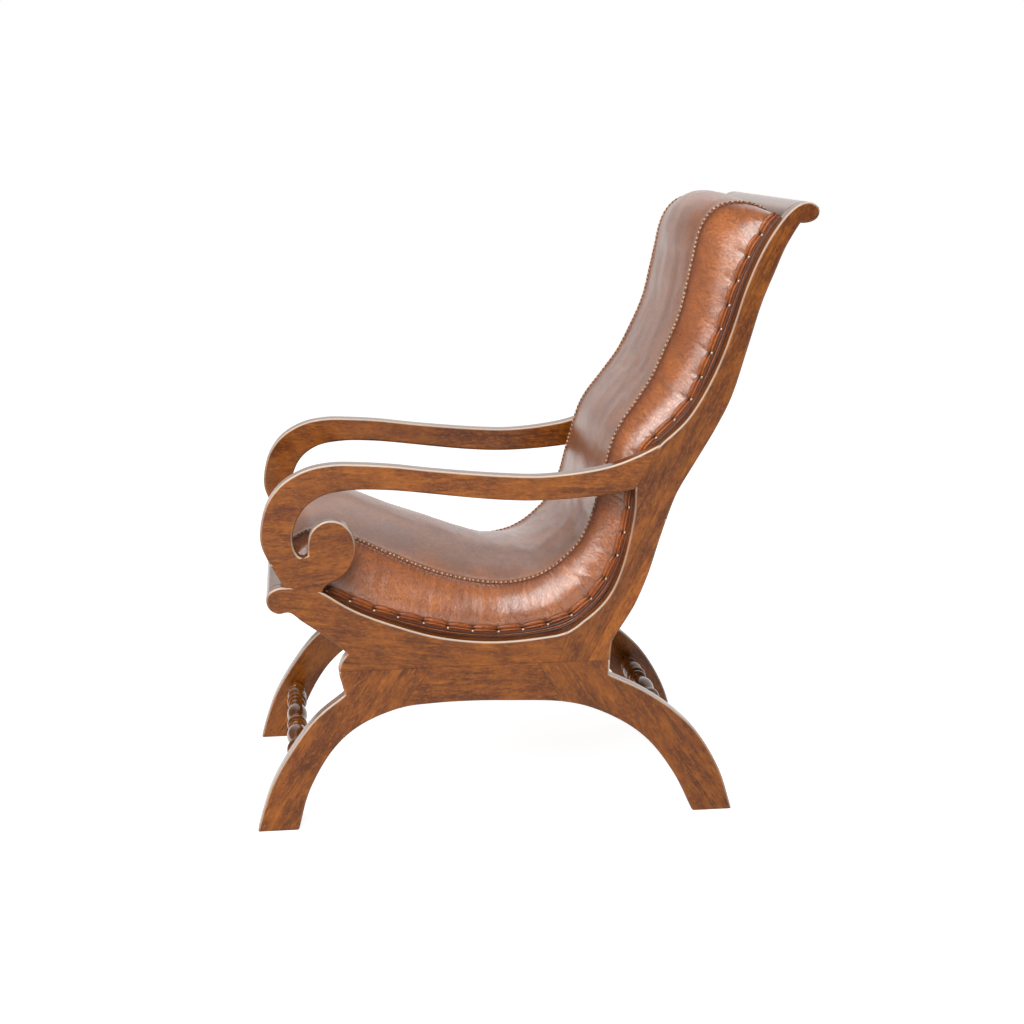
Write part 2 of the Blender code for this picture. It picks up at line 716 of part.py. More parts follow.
def foam_core(foam, chair):
    """Foam that fills the leather, set in by the leather and the thin wadding over the foam."""
    inset = LEATHER + WADDING
    sections = []
    for row in pad_rows(PAD_STEP, FOAM_FIRST_ROW, FOAM_LAST_ROW):
        side = boxing_profile(row, inset)
        half = [(side[0].x, JOINT_GAP), *((p.x, p.y) for p in side[1:-1])]
        edge = lace_x(row) - inset
        if not NOSE_ROWS < row.mark < len(PAD_shares) - NOSE_ROWS:
            half = [(min(x, edge), rise) for x, rise in half]
        top = [(edge * share, crown_lift(row, edge * share, edge) - inset) for share in FOAM_TOP_shares]
        ring = [row.point(x, rise) for x, rise in half] + [row.over(x, lift) for x, lift in top]
        ring.append(row.over(0.0, crown_lift(row, 0.0, edge) - inset))
        ring += [Vector((-p.x, p.y, p.z)) for p in ring[-2::-1]]
        sections.append(ring)
    return loft("foam_core", sections, foam, chair)


def top_panel(leather, chair):
    """Crowned leather over the foam, from lace to lace."""
    sections = []
    for row in pad_rows(PAD_STEP):
        edge = lace_x(row) - LACE_RADIUS - JOINT_GAP
        outer = [(share * edge, crown_lift(row, share * edge, edge)) for share in PANEL_shares]
        inner = [(x, lift - LEATHER) for x, lift in outer[::-1]]
        sections.append([row.over(x, lift) for x, lift in outer + inner])
    return loft("leather_top_panel", sections, leather, chair)


def boxing(sign, side, leather, chair):
    """Bulging leather side between the lace seam and the welt."""
    sections = []
    for row in pad_rows(PAD_STEP):
        ring = boxing_profile(row, 0.0) + boxing_profile(row, LEATHER)[::-1]
        sections.append([row.point(sign * p.x, p.y) for p in ring])
    return loft(f"leather_boxing_{side}", sections, leather, chair)


def lace_seam(sign, side, leather, chair):
    points = [row.point(sign * lace_x(row), row.height) for row in pad_rows(PAD_STEP)]
    return tube(f"lace_seam_{side}", points, [1.0] * len(points), LACE_RADIUS, leather, chair)


def nailed_welt(sign, side, leather, chair):
    """Piping nailed along the pad's edge: it swells between the nails and is pinched at each."""
    rows = pad_rows(NAIL_PITCH / NAIL_STEPS)
    lengths = [0.0]
    for a, b in zip(rows, rows[1:]):
        lengths.append(lengths[-1] + (b.rim - a.rim).length)
    count = 2 * round(lengths[-1] / NAIL_PITCH)
    points, radii = [], []
    for k in range(count + 1):
        target = lengths[-1] * k / count
        index = min(sum(length <= target for length in lengths), len(rows) - 1)
        low, high = lengths[index - 1], lengths[index]
        share = (target - low) / (high - low)
        a, b = (rows[i].point(sign * welt_x(), WELT_RADIUS + JOINT_GAP) for i in (index - 1, index))
        points.append(a.lerp(b, share))
        radii.append(1.0 if k % 2 else PINCH_share)
    return tube(f"nailed_welt_{side}", points, radii, WELT_RADIUS, leather, chair)


def upholstery(frames, wood, leather, dark_leather, foam, cloth, chair, helpers):
    last = len(PAD_shares) - 1
    shell_half = INNER - SHELL_CLEARANCE
    rows = pad_rows(PAD_STEP, SHELL_FIRST_ROW, last)
    sheet("seat_shell", rows, shell_half, -SHELL, 0.0, wood, chair)
    foam_core(foam, chair)
    top_panel(leather, chair)
    for sign, side in SIDES:
        boxing(sign, side, leather, chair)
        lace_seam(sign, side, dark_leather, chair)
        nailed_welt(sign, side, leather, chair)
    top = -SHELL - JOINT_GAP
    for name, (first, second) in CROSS_RAIL_ROWS.items():
        stations = pad_rows(PAD_STEP, first, second)
        rail = sheet(name, stations, INNER - JOINT_GAP, top - CROSS_RAIL, top, wood, chair)
        tenon_cross_rail(rail, stations, frames, wood, helpers)
    under = top - CROSS_RAIL - JOINT_GAP
    for name, (first, second) in COVER_ROWS.items():
        stations = pad_rows(PAD_STEP, first, second)
        stuff = cloth if name == "dust_cover" else dark_leather
        sheet(name, stations, shell_half, under - COVER, under, stuff, chair)
    return rows


def tenon_cross_rail(rail, stations, frames, wood, helpers):
    """Gives a cross rail its two end tenons, and cuts their pockets in the boards that they enter."""
    start, end = stations[0].rim, stations[-1].rim
    along = (end - start).normalized()
    up = Vector((-along.y, along.x))
    depth = SHELL + JOINT_GAP + CROSS_RAIL / 2
    nearest = stations[len(stations) // 2]
    middle = nearest.rim - up * depth
    carrier = "seat_rail" if "seat" in rail.name else "back_post"
    for sign, side in SIDES:
        matrix = Matrix.Identity(4)
        matrix.col[1] = (0.0, along.x, along.y, 0.0)
        matrix.col[2] = (0.0, up.x * -1, up.y * -1, 0.0)
        matrix.col[0] = (-1.0, 0.0, 0.0, 0.0)
        reach = TENON_REACH
        matrix.col[3] = (sign * (INNER + (reach - OVERRUN) / 2), middle.x, middle.y, 1.0)
        size = Vector((reach + OVERRUN, TENON_WIDTH, TENON_THICKNESS))
        tenon = hide_helper(box(f"{rail.name}_tenon_{side}", size, matrix, wood, helpers))
        combine(rail, tenon, "UNION")
        room = size + Vector((2 * JOINT_GAP, 2 * JOINT_GAP, 2 * JOINT_GAP))
        pocket = hide_helper(box(f"{rail.name}_pocket_{side}", room, matrix, wood, helpers))
        combine(frames[side][carrier], pocket, "DIFFERENCE")


def main():
    clear_scene()
    chair = new_collection("lounge_chair")
    helpers = new_collection("cutters")
    wood = new_material("lacquered_hardwood", (0.30, 0.115, 0.04), 0.3)
    leather = new_material("cognac_leather", (0.40, 0.13, 0.04), 0.35)
    dark_leather = new_material("dark_leather", (0.16, 0.05, 0.02), 0.4)
    foam = new_material("upholstery_foam", (0.80, 0.72, 0.50), 0.9)
    cloth = new_material("dust_cloth", (0.02, 0.02, 0.02), 0.9)

    frames = {side: side_frame(sign, side, wood, chair, helpers) for sign, side in SIDES}
    front_rail(frames, wood, chair, helpers)
    rows = upholstery(frames, wood, leather, dark_leather, foam, cloth, chair, helpers)
    crest_rail(rows, frames, wood, chair, helpers)
    arch = line(ARCH_shares)
    for name, height, outer, inner, leg in (
        ("front_stretcher", FRONT_STRETCHER_HEIGHT, line(LEG_FRONT_shares), stretch(arch, 0, 4), "front_leg"),
        ("rear_stretcher", REAR_STRETCHER_HEIGHT, line(LEG_REAR_shares), stretch(arch, 8, 13), "rear_leg"),
    ):
        legs = {side: frames[side][leg] for _, side in SIDES}
        stretcher(name, height, whole(outer), inner, legs, wood, chair, helpers)


main()
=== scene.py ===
import math
from functools import partial

import bmesh
import bpy
import numpy as np
from mathutils import Matrix, Vector, noise
from mathutils.bvhtree import BVHTree


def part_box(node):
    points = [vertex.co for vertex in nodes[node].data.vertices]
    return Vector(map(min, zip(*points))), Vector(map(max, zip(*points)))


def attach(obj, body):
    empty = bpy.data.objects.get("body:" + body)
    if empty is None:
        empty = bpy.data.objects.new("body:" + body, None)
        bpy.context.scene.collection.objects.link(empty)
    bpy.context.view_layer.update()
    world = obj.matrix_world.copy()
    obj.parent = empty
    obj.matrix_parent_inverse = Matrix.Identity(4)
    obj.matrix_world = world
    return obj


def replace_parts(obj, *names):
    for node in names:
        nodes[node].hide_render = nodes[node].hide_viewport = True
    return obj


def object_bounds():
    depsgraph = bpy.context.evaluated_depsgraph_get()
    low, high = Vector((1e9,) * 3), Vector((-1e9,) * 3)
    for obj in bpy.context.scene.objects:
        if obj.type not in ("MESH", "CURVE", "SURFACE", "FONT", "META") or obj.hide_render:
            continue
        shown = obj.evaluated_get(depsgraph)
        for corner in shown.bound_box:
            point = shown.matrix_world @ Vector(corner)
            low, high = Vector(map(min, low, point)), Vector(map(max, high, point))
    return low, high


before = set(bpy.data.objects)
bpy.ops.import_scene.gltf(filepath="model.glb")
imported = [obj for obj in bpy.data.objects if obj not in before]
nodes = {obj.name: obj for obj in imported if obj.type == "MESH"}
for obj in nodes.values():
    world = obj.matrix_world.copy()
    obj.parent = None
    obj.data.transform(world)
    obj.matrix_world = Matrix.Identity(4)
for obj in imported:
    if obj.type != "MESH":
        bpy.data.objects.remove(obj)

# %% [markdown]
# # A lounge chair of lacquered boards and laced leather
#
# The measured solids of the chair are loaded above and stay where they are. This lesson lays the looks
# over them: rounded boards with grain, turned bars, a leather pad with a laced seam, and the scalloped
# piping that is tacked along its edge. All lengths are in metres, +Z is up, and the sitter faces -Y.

scene = bpy.context.scene
cad_box = [list(corner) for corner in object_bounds()]


def show(name, data):
    """Object in the scene that shows the data."""
    item = bpy.data.objects.new(name, data)
    scene.collection.objects.link(item)
    return item


print("box of the solids:", cad_box)

# %% [markdown]
# ## Camera
#
# The photograph was taken from the sitter's left with a long lens, a little above the arms. The place
# and the turn of the camera were fitted to the outlines of both side frames.

# %% Camera
CAMERA_PLACE = Vector((4.0051, -0.3615, 1.0972))
CAMERA_SWING, CAMERA_DROP, CAMERA_ROLL = 0.08769, 0.16070, -0.02449
LENS_MM = 84.375

ahead = Vector((
    -math.cos(CAMERA_SWING) * math.cos(CAMERA_DROP),
    math.sin(CAMERA_SWING) * math.cos(CAMERA_DROP),
    -math.sin(CAMERA_DROP),
))
level = ahead.cross(Vector((0.0, 0.0, 1.0))).normalized()
above = level.cross(ahead)
right = level * math.cos(CAMERA_ROLL) + above * math.sin(CAMERA_ROLL)
up = above * math.cos(CAMERA_ROLL) - level * math.sin(CAMERA_ROLL)
camera = show("camera", bpy.data.cameras.new("camera"))
camera.data.lens = LENS_MM
camera.data.sensor_width = 36.0
camera.matrix_world = Matrix.Translation(CAMERA_PLACE) @ Matrix((right, up, -ahead)).transposed().to_4x4()
scene.camera = camera
print("camera looks along", tuple(round(part, 3) for part in ahead))

# %% [markdown]
# ## Helpers for finishes
#
# Colours are written as they look on a screen and turned to linear light by one function. One function
# adds a node with its settings and its links, so that a finish reads as a short list.

# %% Colours and nodes
def linear(code):
    """sRGB hex to linear colour."""
    parts = [int(code[i:i + 2], 16) / 255 for i in (1, 3, 5)]
    return (*(p / 12.92 if p <= 0.04045 else ((p + 0.055) / 1.055) ** 2.4 for p in parts), 1.0)


def add_node(tree, kind, inputs, **settings):
    """Adds a node and gives its outputs. An input that is a socket is linked, and others are set."""
    node = tree.nodes.new("ShaderNode" + kind)
    for name, value in settings.items():
        setattr(node, name, value)
    for name, value in inputs.items():
        if isinstance(value, bpy.types.NodeSocket):
            tree.links.new(value, node.inputs[name])
        else:
            node.inputs[name].default_value = value
    return node.outputs


def new_finish(name):
    """Empty material and its node tree."""
    finish = bpy.data.materials.new(name)
    finish.use_nodes = True
    finish.node_tree.nodes.clear()
    return finish, finish.node_tree


FACTOR, FIRST, SECOND, COLOUR = 0, 6, 7, 2
SMOOTH = {"interpolation_type": "SMOOTHSTEP"}
print("helpers ready; mid grey is", round(linear("#808080")[0], 3))

# %% [markdown]
# ## Studio
#
# The room is a pale floor before a white backdrop. The flat sides of the boards mirror the darker room
# behind the camera, which keeps their brown deep. A large soft lamp beside the camera gives the broad
# sheen on the leather, a smaller one in front carries it up the back, and a weak one lifts the crest.

# %% Floor
FLOOR_HALF = 60.0
FLOOR_GLOW = 0.87   # light that the floor takes up from the backdrop lamps, which aren't drawn
floor_mesh = bpy.data.meshes.new("studio_floor")
shape = bmesh.new()
bmesh.ops.create_grid(shape, x_segments=1, y_segments=1, size=FLOOR_HALF)
bmesh.ops.translate(shape, verts=shape.verts, vec=(0.0, 0.0, -0.0004))
shape.to_mesh(floor_mesh)
shape.free()
floor = show("studio_floor", floor_mesh)
paper, tree = new_finish("matt_studio_paper")
surface = add_node(tree, "BsdfPrincipled", {
    "Base Color": linear("#B9B8B7"), "Roughness": 0.9,
    "Emission Color": linear("#FFFFFF"), "Emission Strength": FLOOR_GLOW,
})
add_node(tree, "OutputMaterial", {"Surface": surface[0]})
floor_mesh.materials.append(paper)
print("floor half width", FLOOR_HALF)

# %% Sky and lamps
ROOM_DARK, ROOM_BRIGHT = 0.14, 0.98
WINDOW_WAY = (-0.90, 0.35, 0.25)   # where the brightest part of the room lies
WINDOW_EDGE, WINDOW_CORE = 0.68, 0.97   # how closely a ray looks there where the light begins and is full
# Place, aim, width and power
LAMPS = {
    "side_lamp": ((5.3, -1.7, 4.35), (0.0, 0.0, 0.50), 4.6, 550.0),
    "front_lamp": ((3.4, -4.6, 3.30), (0.0, 0.0, 0.60), 2.4, 80.0),
    "top_lamp": ((0.25, 0.9, 3.2), (0.0, 0.0, 0.5), 0.9, 12.0),
}
world = bpy.data.worlds.new("studio_room")
world.use_nodes = True
tree = world.node_tree
tree.nodes.clear()
direction = add_node(tree, "TexCoord", {})["Generated"]
toward = add_node(tree, "VectorMath", {0: direction, 1: WINDOW_WAY}, operation="DOT_PRODUCT")["Value"]
glow = add_node(tree, "MapRange", {
    "Value": toward, "From Min": WINDOW_EDGE, "From Max": WINDOW_CORE,
    "To Min": ROOM_DARK, "To Max": ROOM_BRIGHT,
}, **SMOOTH)["Result"]
room = add_node(tree, "Background", {"Color": linear("#FFFFFF"), "Strength": glow})
backdrop = add_node(tree, "Background", {"Color": linear("#FFFFFF"), "Strength": 1.0})
seen = add_node(tree, "LightPath", {})["Is Camera Ray"]
both = add_node(tree, "MixShader", {0: seen, 1: room[0], 2: backdrop[0]})
add_node(tree, "OutputWorld", {"Surface": both[0]})
scene.world = world
scene.view_settings.view_transform = "Standard"
for name, (place, aim, size, watts) in LAMPS.items():
    lamp = bpy.data.lights.new(name, "AREA")
    lamp.size = size
    lamp.energy = watts
    holder = show(name, lamp)
    holder.location = place
    holder.rotation_euler = (Vector(aim) - Vector(place)).to_track_quat("-Z", "Y").to_euler()
    print(name, watts, "W")

# %% [markdown]
# ## Lacquered hardwood
#
# The boards are a dense hardwood, stained orange brown and lacquered to a gloss. Each is cut from a log,
# so its pattern is a slice through growth rings: a wave texture gives rings round an axis, and every
# board carries an attribute that says where it lay in its log. A cut askew to the log shows pointed
# arches, and one along it shows straight lines. The stain has taken unevenly in soft blotches.

# %% Hardwood finish
RING_MM = 9.0
WAVE_MM = 314.0   # a wave texture of scale 1 repeats every 314 mm
# The last colour is the pale of rubbed stain on the edges, which is also a painted highlight where they
# look up
STAIN, RING_STAIN, RUBBED_AND_HIGHLIGHT = "#522607", "#3C1B07", "#DCCDBB"
# Marks in the wood: length and width of a mark in mm, detail and grit of its noise, the stretch of the
# noise that shows, how strongly it shows, and its colour
MARKS = (
    (58.0, 34.0, 4.0, 0.65, 0.30, 0.72, 1.00, "#7E4510"),   # blotches where the stain took unevenly
    (120.0, 8.0, 4.0, 0.65, 0.46, 0.80, 0.75, "#401E08"),   # long dark streaks
    (90.0, 11.0, 3.0, 0.60, 0.54, 0.80, 0.75, "#95550F"),   # long pale streaks
    (9.0, 3.6, 3.0, 0.70, 0.46, 0.78, 0.55, "#98581E"),     # pale specks
    (15.0, 3.2, 3.0, 0.68, 0.52, 0.78, 0.75, "#351806"),    # dark flecks
    (16.0, 1.5, 3.0, 0.60, 0.55, 0.78, 0.65, "#2E1506"),    # pores, drawn coarser than real ones
)
# Gloss lacquer over stain: a clear coat mirrors the room, and the wood under it stays soft. An attribute
# says where the stain is rubbed thin and pale; on the edges that look up, this pale colour is also a
# painted highlight.
hardwood, tree = new_finish("gloss_lacquered_stained_hardwood")
grain = add_node(tree, "Attribute", {}, attribute_name="grain")["Vector"]
tone = add_node(tree, "Attribute", {}, attribute_name="tone")["Fac"]
rub_and_highlight = add_node(tree, "Attribute", {}, attribute_name="rub_and_highlight")["Fac"]
colour = linear(STAIN)
masks = []
for along_mm, across_mm, detail, grit, low, high, strength, code in MARKS:
    spots = add_node(tree, "VectorMath", {
        0: grain, 1: (1000.0 / along_mm, 1000.0 / across_mm, 1000.0 / across_mm),
    }, operation="MULTIPLY")[0]
    mark = add_node(tree, "TexNoise", {
        "Vector": spots, "Scale": 1.0, "Detail": detail, "Roughness": grit,
    })["Fac"]
    mask = add_node(tree, "MapRange", {
        "Value": mark, "From Min": low, "From Max": high, "To Max": strength,
    }, **SMOOTH)["Result"]
    colour = add_node(tree, "Mix", {
        FACTOR: mask, FIRST: colour, SECOND: linear(code),
    }, data_type="RGBA")[COLOUR]
    masks.append(mask)
rings = add_node(tree, "TexWave", {
    "Vector": grain, "Scale": WAVE_MM / RING_MM, "Distortion": 5.0, "Detail": 4.0,
    "Detail Scale": 0.22, "Detail Roughness": 0.6,
}, wave_type="RINGS", rings_direction="X")["Fac"]
ring_mask = add_node(tree, "MapRange", {
    "Value": rings, "From Min": 0.35, "To Max": 0.75,
}, **SMOOTH)["Result"]
figure = add_node(tree, "Math", {0: ring_mask, 1: masks[1]}, operation="MULTIPLY")[0]
for mask, code in ((figure, RING_STAIN), (rub_and_highlight, RUBBED_AND_HIGHLIGHT)):
    colour = add_node(tree, "Mix", {
        FACTOR: mask, FIRST: colour, SECOND: linear(code),
    }, data_type="RGBA")[COLOUR]
brightness = add_node(tree, "MapRange", {
    "Value": tone, "From Min": -1.0, "From Max": 1.0, "To Min": 0.5, "To Max": 1.5,
})["Result"]
colour = add_node(tree, "HueSaturation", {"Color": colour, "Value": brightness})["Color"]
relief = add_node(tree, "Bump", {"Height": masks[-1], "Strength": 0.10, "Distance": 0.0006})["Normal"]
surface = add_node(tree, "BsdfPrincipled", {
    "Base Color": colour, "Roughness": 0.45, "IOR": 1.45, "Normal": relief, "Specular IOR Level": 0.0,
    "Coat Weight": 1.0, "Coat Roughness": 0.16, "Coat IOR": 1.34,
})
add_node(tree, "OutputMaterial", {"Surface": surface[0]})
print("hardwood rings", RING_MM, "mm apart")

# %% [markdown]
# ## Boards
#
# Each side frame is glued up from eight boards whose free edges are rounded over. The solids hold their
# outlines, so the flat face of each board is taken from there, its curve is made finer, and it is
# extruded to the board's thickness. Bevels then round the free edges and leave the glued seams sharp,
# which is how the joints show as thin lines.

# %% Outlines of the boards
MERGE, FLAT = 0.00002, 0.0002
CORNER_TURN = math.radians(44)      # a sharper turn of an outline is a corner
STRAIGHT_TURN = math.radians(0.2)   # and a weaker one isn't a turn
FINE_STEP = 0.005
BOARDS = (
    "front_leg", "arch_block", "rear_leg", "seat_rail", "back_post", "back_post_strip", "arm", "arm_scroll",
)


def sides_of(points):
    """The sides of a closed outline, each as its two ends."""
    return zip(points, points[1:] + points[:1])


def around(points):
    """Each point of a closed outline between its neighbours."""
    return zip(points[-1:] + points[:-1], points, points[1:] + points[:1])


def turn_of(before, here, after):
    """Signed angle between the two sides that meet at a point."""
    a, b = here - before, after - here
    return math.atan2(a.x * b.y - a.y * b.x, a.dot(b))


def face_outline(node, x):
    """Outline, anticlockwise in Y and Z, of the flat face of a solid that lies at x."""
    shape = bmesh.new()
    shape.from_mesh(nodes[node].data)
    bmesh.ops.remove_doubles(shape, verts=shape.verts, dist=MERGE)
    others = [face for face in shape.faces if any(abs(v.co.x - x) > FLAT for v in face.verts)]
    bmesh.ops.delete(shape, geom=others, context="FACES")
    rims = []
    left = [edge for edge in shape.edges if edge.is_boundary]
    while left:
        edge = left.pop()
        start, here, rim = edge.verts[0], edge.verts[1], [edge.verts[0].co.yz]
        while here != start:
            rim.append(here.co.yz)
            edge = next(each for each in here.link_edges if each in left)
            left.remove(edge)
            here = edge.other_vert(here)
        rims.append(rim)
    points = max(rims, key=lambda rim: max(p.x for p in rim) - min(p.x for p in rim))
    shape.free()
    area = sum(a.x * b.y - a.y * b.x for a, b in sides_of(points))
    points = points if area > 0 else points[::-1]
    return [place[1] for place in around(points) if abs(turn_of(*place)) > STRAIGHT_TURN]


def curve_between(start, end, leave, arrive, size, t):
    """Point or rows of points at t on a smooth curve that leaves and arrives along given directions."""
    return (
        start * (1 + 2 * t) * (1 - t) ** 2 + end * (3 - 2 * t) * t ** 2
        + (leave * t * (1 - t) ** 2 - arrive * (1 - t) * t ** 2) * size
    )


def finer(points, is_glued):
    """The same outline with its curves rounded by more points. Corners and glued sides stay."""
    tangents = []
    for before, here, after in around(points):
        a, b = here - before, after - here
        corner = abs(turn_of(before, here, after)) > CORNER_TURN
        corner = corner or is_glued(before, here) or is_glued(here, after)
        tangent = a / a.length * b.length + b / b.length * a.length
        tangents.append(None if corner else tangent.normalized())
    result = []
    for (start, end), (leave, arrive) in zip(sides_of(points), sides_of(tangents)):
        size, chord = (end - start).length, (end - start).normalized()
        if is_glued(start, end) or (leave is None and arrive is None):
            result.append(start)
            continue
        leave = leave or (2 * arrive.dot(chord) * chord - arrive)
        arrive = arrive or (2 * leave.dot(chord) * chord - leave)
        steps = max(1, round(size / FINE_STEP))
        result += [curve_between(start, end, leave, arrive, size, k / steps) for k in range(steps)]
    return result


thickest = max(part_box(f"{name}_left")[1].x for name in BOARDS)
outlines = {name: face_outline(f"{name}_left", thickest) for name in BOARDS}
for name, points in outlines.items():
    print(name, len(points), "points")

# %% Where a board is glued to the next
SEAM_REACH = 0.0012


def inside(point, ring):
    """Whether a point lies inside a closed outline."""
    crossings = 0
    for a, b in sides_of(ring):
        if (a.y > point.y) != (b.y > point.y):
            crossings += point.x < a.x + (b.x - a.x) * (point.y - a.y) / (b.y - a.y)
    return crossings % 2 == 1


def glued(name, a, b):
    """Whether the side of a board from a to b touches another board."""
    along = (b - a).normalized()
    probe = (a + b) / 2 + Vector((along.y, -along.x)) * SEAM_REACH
    return any(inside(probe, ring) for other, ring in outlines.items() if other != name)


for name, points in outlines.items():
    seams = sum(glued(name, a, b) for a, b in sides_of(points))
    print(name, seams, "glued sides")

# %% Cutting a rounded board
ARRIS = 0.0034
BEVEL_SEGMENTS = 4


def spot(point):
    """Place in a flat outline, to a hundredth of a millimetre."""
    return round(point.x, 5), round(point.y, 5)


def cut_board(points, near, far, is_glued, arris):
    """Board from its outline between two values of x, with its free edges rounded to the arris."""
    shape = bmesh.new()
    face = shape.faces.new([shape.verts.new((near, point.x, point.y)) for point in points])
    grown = bmesh.ops.extrude_face_region(shape, geom=[face])["geom"]
    moved = [item for item in grown if isinstance(item, bmesh.types.BMVert)]
    bmesh.ops.translate(shape, verts=moved, vec=(far - near, 0.0, 0.0))
    bmesh.ops.recalc_face_normals(shape, faces=shape.faces)
    corners = {
        spot(point) for before, point, after in around(points)
        if turn_of(before, point, after) > CORNER_TURN and not is_glued(before, point)
        and not is_glued(point, after)
    }
    sides = [
        edge for edge in shape.edges
        if abs(edge.verts[0].co.x - edge.verts[1].co.x) > FLAT and spot(edge.verts[0].co.yz) in corners
    ]
    for x in (near, far):
        for edge in shape.edges:
            if any(abs(v.co.x - x) > FLAT for v in edge.verts):
                continue
            flat = max(edge.link_faces, key=lambda each: abs(each.normal.x))
            loop = next(one for one in edge.link_loops if one.face == flat)
            a, b = loop.vert.co.yz, loop.link_loop_next.vert.co.yz
            if flat.normal.x < 0:
                a, b = b, a
            if not is_glued(a, b):
                sides.append(edge)
    if arris:
        bmesh.ops.bevel(
            shape, geom=sides, offset=arris, offset_type="OFFSET", segments=BEVEL_SEGMENTS, profile=0.5,
            affect="EDGES", clamp_overlap=False, material=-1,
        )
    return shape


def smooth_mesh(name, shape, sharp=None):
    """Mesh of a shape with smooth faces. Edges that turn more than sharp stay hard."""
    for face in shape.faces:
        face.smooth = True
    if sharp:
        for edge in shape.edges:
            edge.smooth = edge.calc_face_angle(0.0) < sharp
    mesh = bpy.data.meshes.new(name)
    shape.to_mesh(mesh)
    shape.free()
    return mesh


print("arris radius", ARRIS)

# %% Pieces of wood
# How pale the rounded edges are painted at most: partly rubbed stain, partly a painted highlight
RUB_AND_HIGHLIGHT_MOST = 0.70


def add_piece(mesh, finish):
    """Object at the origin that rides with the chair's only body."""
    mesh.materials.clear()
    mesh.materials.append(finish)
    piece = show(mesh.name, mesh)
    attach(piece, "root")
    return piece


def add_wood(mesh, lay_in_log, tone_value, rub_and_highlight_where):
    """Piece of wood that holds where it lay in its log, how light its stain is, and how far it is rubbed
    pale, which on edges that look up is also a painted highlight. Both rules take places, and the second
    one also how far the surface looks up there."""
    x, y, z = np.array([vertex.co for vertex in mesh.vertices]).T
    looks_up = np.array([vertex.normal.z for vertex in mesh.vertices])
    for key, kind, field, values in (
        ("grain", "FLOAT_VECTOR", "vector", np.stack(lay_in_log(x, y, z), axis=1).ravel()),
        ("tone", "FLOAT", "value", np.full(len(x), tone_value)),
        ("rub_and_highlight", "FLOAT", "value", rub_and_highlight_where(x, looks_up)),
    ):
        mesh.attributes.new(key, kind, "POINT").data.foreach_set(field, values)
    return add_piece(mesh, hardwood)


def shade_evenly(piece):
    piece.modifiers.new("even_shading", "WEIGHTED_NORMAL").keep_sharp = True


def board_in_log(angle, slope, offset):
    """Rule that lays a board in its log: the angle of its grain in the side view in degrees, the slope
    of its cut to the log, and where its middle lies in the log."""
    c, s = math.cos(math.radians(angle)), math.sin(math.radians(angle))

    def lay(x, y, z):
        along = (y - y.mean()) * c + (z - z.mean()) * s
        across = (z - z.mean()) * c - (y - y.mean()) * s
        return along + offset[0], across + offset[1], np.abs(x) + slope * along + offset[2]

    return lay


def rubbed_and_highlit_arris(x, looks_up):
    """A board is rubbed pale only on its rounded edges, most where they look up: partly worn stain, partly
    a painted highlight.
    """
    depth = np.minimum(np.abs(x).max() - np.abs(x), np.abs(x) - np.abs(x).min()) / ARRIS
    return RUB_AND_HIGHLIGHT_MOST * ((depth > 0.02) & (depth < 0.98)) * np.clip(0.2 + 1.1 * looks_up, 0.0, 1.0)


print("arrises are rubbed to", RUB_AND_HIGHLIGHT_MOST)

# %% The sixteen boards
SIDES = (("left", 1), ("right", -1))
MIRROR_SHIFT = 0.37   # a right board comes from this much further along its log
# Grain angle in degrees, slope of the cut, offset in the log in metres, and tone from -1 to 1
BOARD_LOOKS = {
    "front_leg": (55.0, 0.05, (0.10, 0.050, -0.26), 0.06),
    "arch_block": (1.0, 0.16, (0.45, 0.006, -0.29), -0.06),
    "rear_leg": (-56.0, 0.04, (0.80, -0.065, -0.25), -0.16),
    "seat_rail": (-7.0, 0.05, (1.20, 0.070, -0.24), -0.06),
    "back_post": (62.0, 0.03, (1.70, 0.085, -0.27), -0.12),
    "back_post_strip": (60.0, 0.02, (2.10, -0.060, -0.25), 0.40),
    "arm": (-2.0, 0.04, (2.50, 0.045, -0.26), 0.08),
    "arm_scroll": (8.0, 0.10, (2.90, -0.030, -0.28), 0.00),
}
half_width = max(abs(corner[0]) for corner in cad_box)
for name, (angle, slope, offset, tone_value) in BOARD_LOOKS.items():
    is_glued = partial(glued, name)
    points = finer(outlines[name], is_glued)
    for side, sign in SIDES:
        node = f"{name}_{side}"
        low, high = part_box(node)
        shape = cut_board(points, sign * half_width, low.x if sign > 0 else high.x, is_glued, ARRIS)
        shifted = (offset[0] + (sign < 0) * MIRROR_SHIFT, offset[1], offset[2])
        mesh = smooth_mesh(node + "_board", shape, CORNER_TURN)
        board = add_wood(mesh, board_in_log(angle, slope, shifted), tone_value, rubbed_and_highlit_arris)
        shade_evenly(board)
        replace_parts(board, node)
        print(board.name, len(mesh.polygons), "faces")

# %% [markdown]
# ## Rails and turned bars
#
# The front rail carries on the rounded ears of the side frames, and the crest rail their rolled top.
# Both were run through a moulder, so they are their end outline pushed across the chair. The two
# stretchers were turned on a lathe, so half a profile of beads and swellings is spun round its axis.

# %% Front rail and crest rail
RAIL_SLOPE = 0.04
RAIL_TONE, BAR_TONE = 0.05, -0.05
# Offset in the log, and how far the rail is painted pale at most where it looks up, as rubbed stain and as
# a painted highlight
RAILS = {"front_rail": ((3.4, 0.03, 0.05), 0.0), "crest_rail": ((3.9, -0.02, 0.06), 0.10)}


def rail_in_log(offset):
    """Rule that lays a rail in its log, with the grain across the chair."""
    return lambda x, y, z: (
        x + offset[0], y - y.mean() + offset[1], z - z.mean() + RAIL_SLOPE * x + offset[2]
    )


def rubbed_and_highlit_top(most):
    """Rule that paints a rail pale where it looks up: partly rubbed stain, partly a painted highlight."""
    return lambda x, looks_up: most * np.clip(1.6 * looks_up + 0.2, 0.0, 1.0)


def unglued(a, b):
    return False


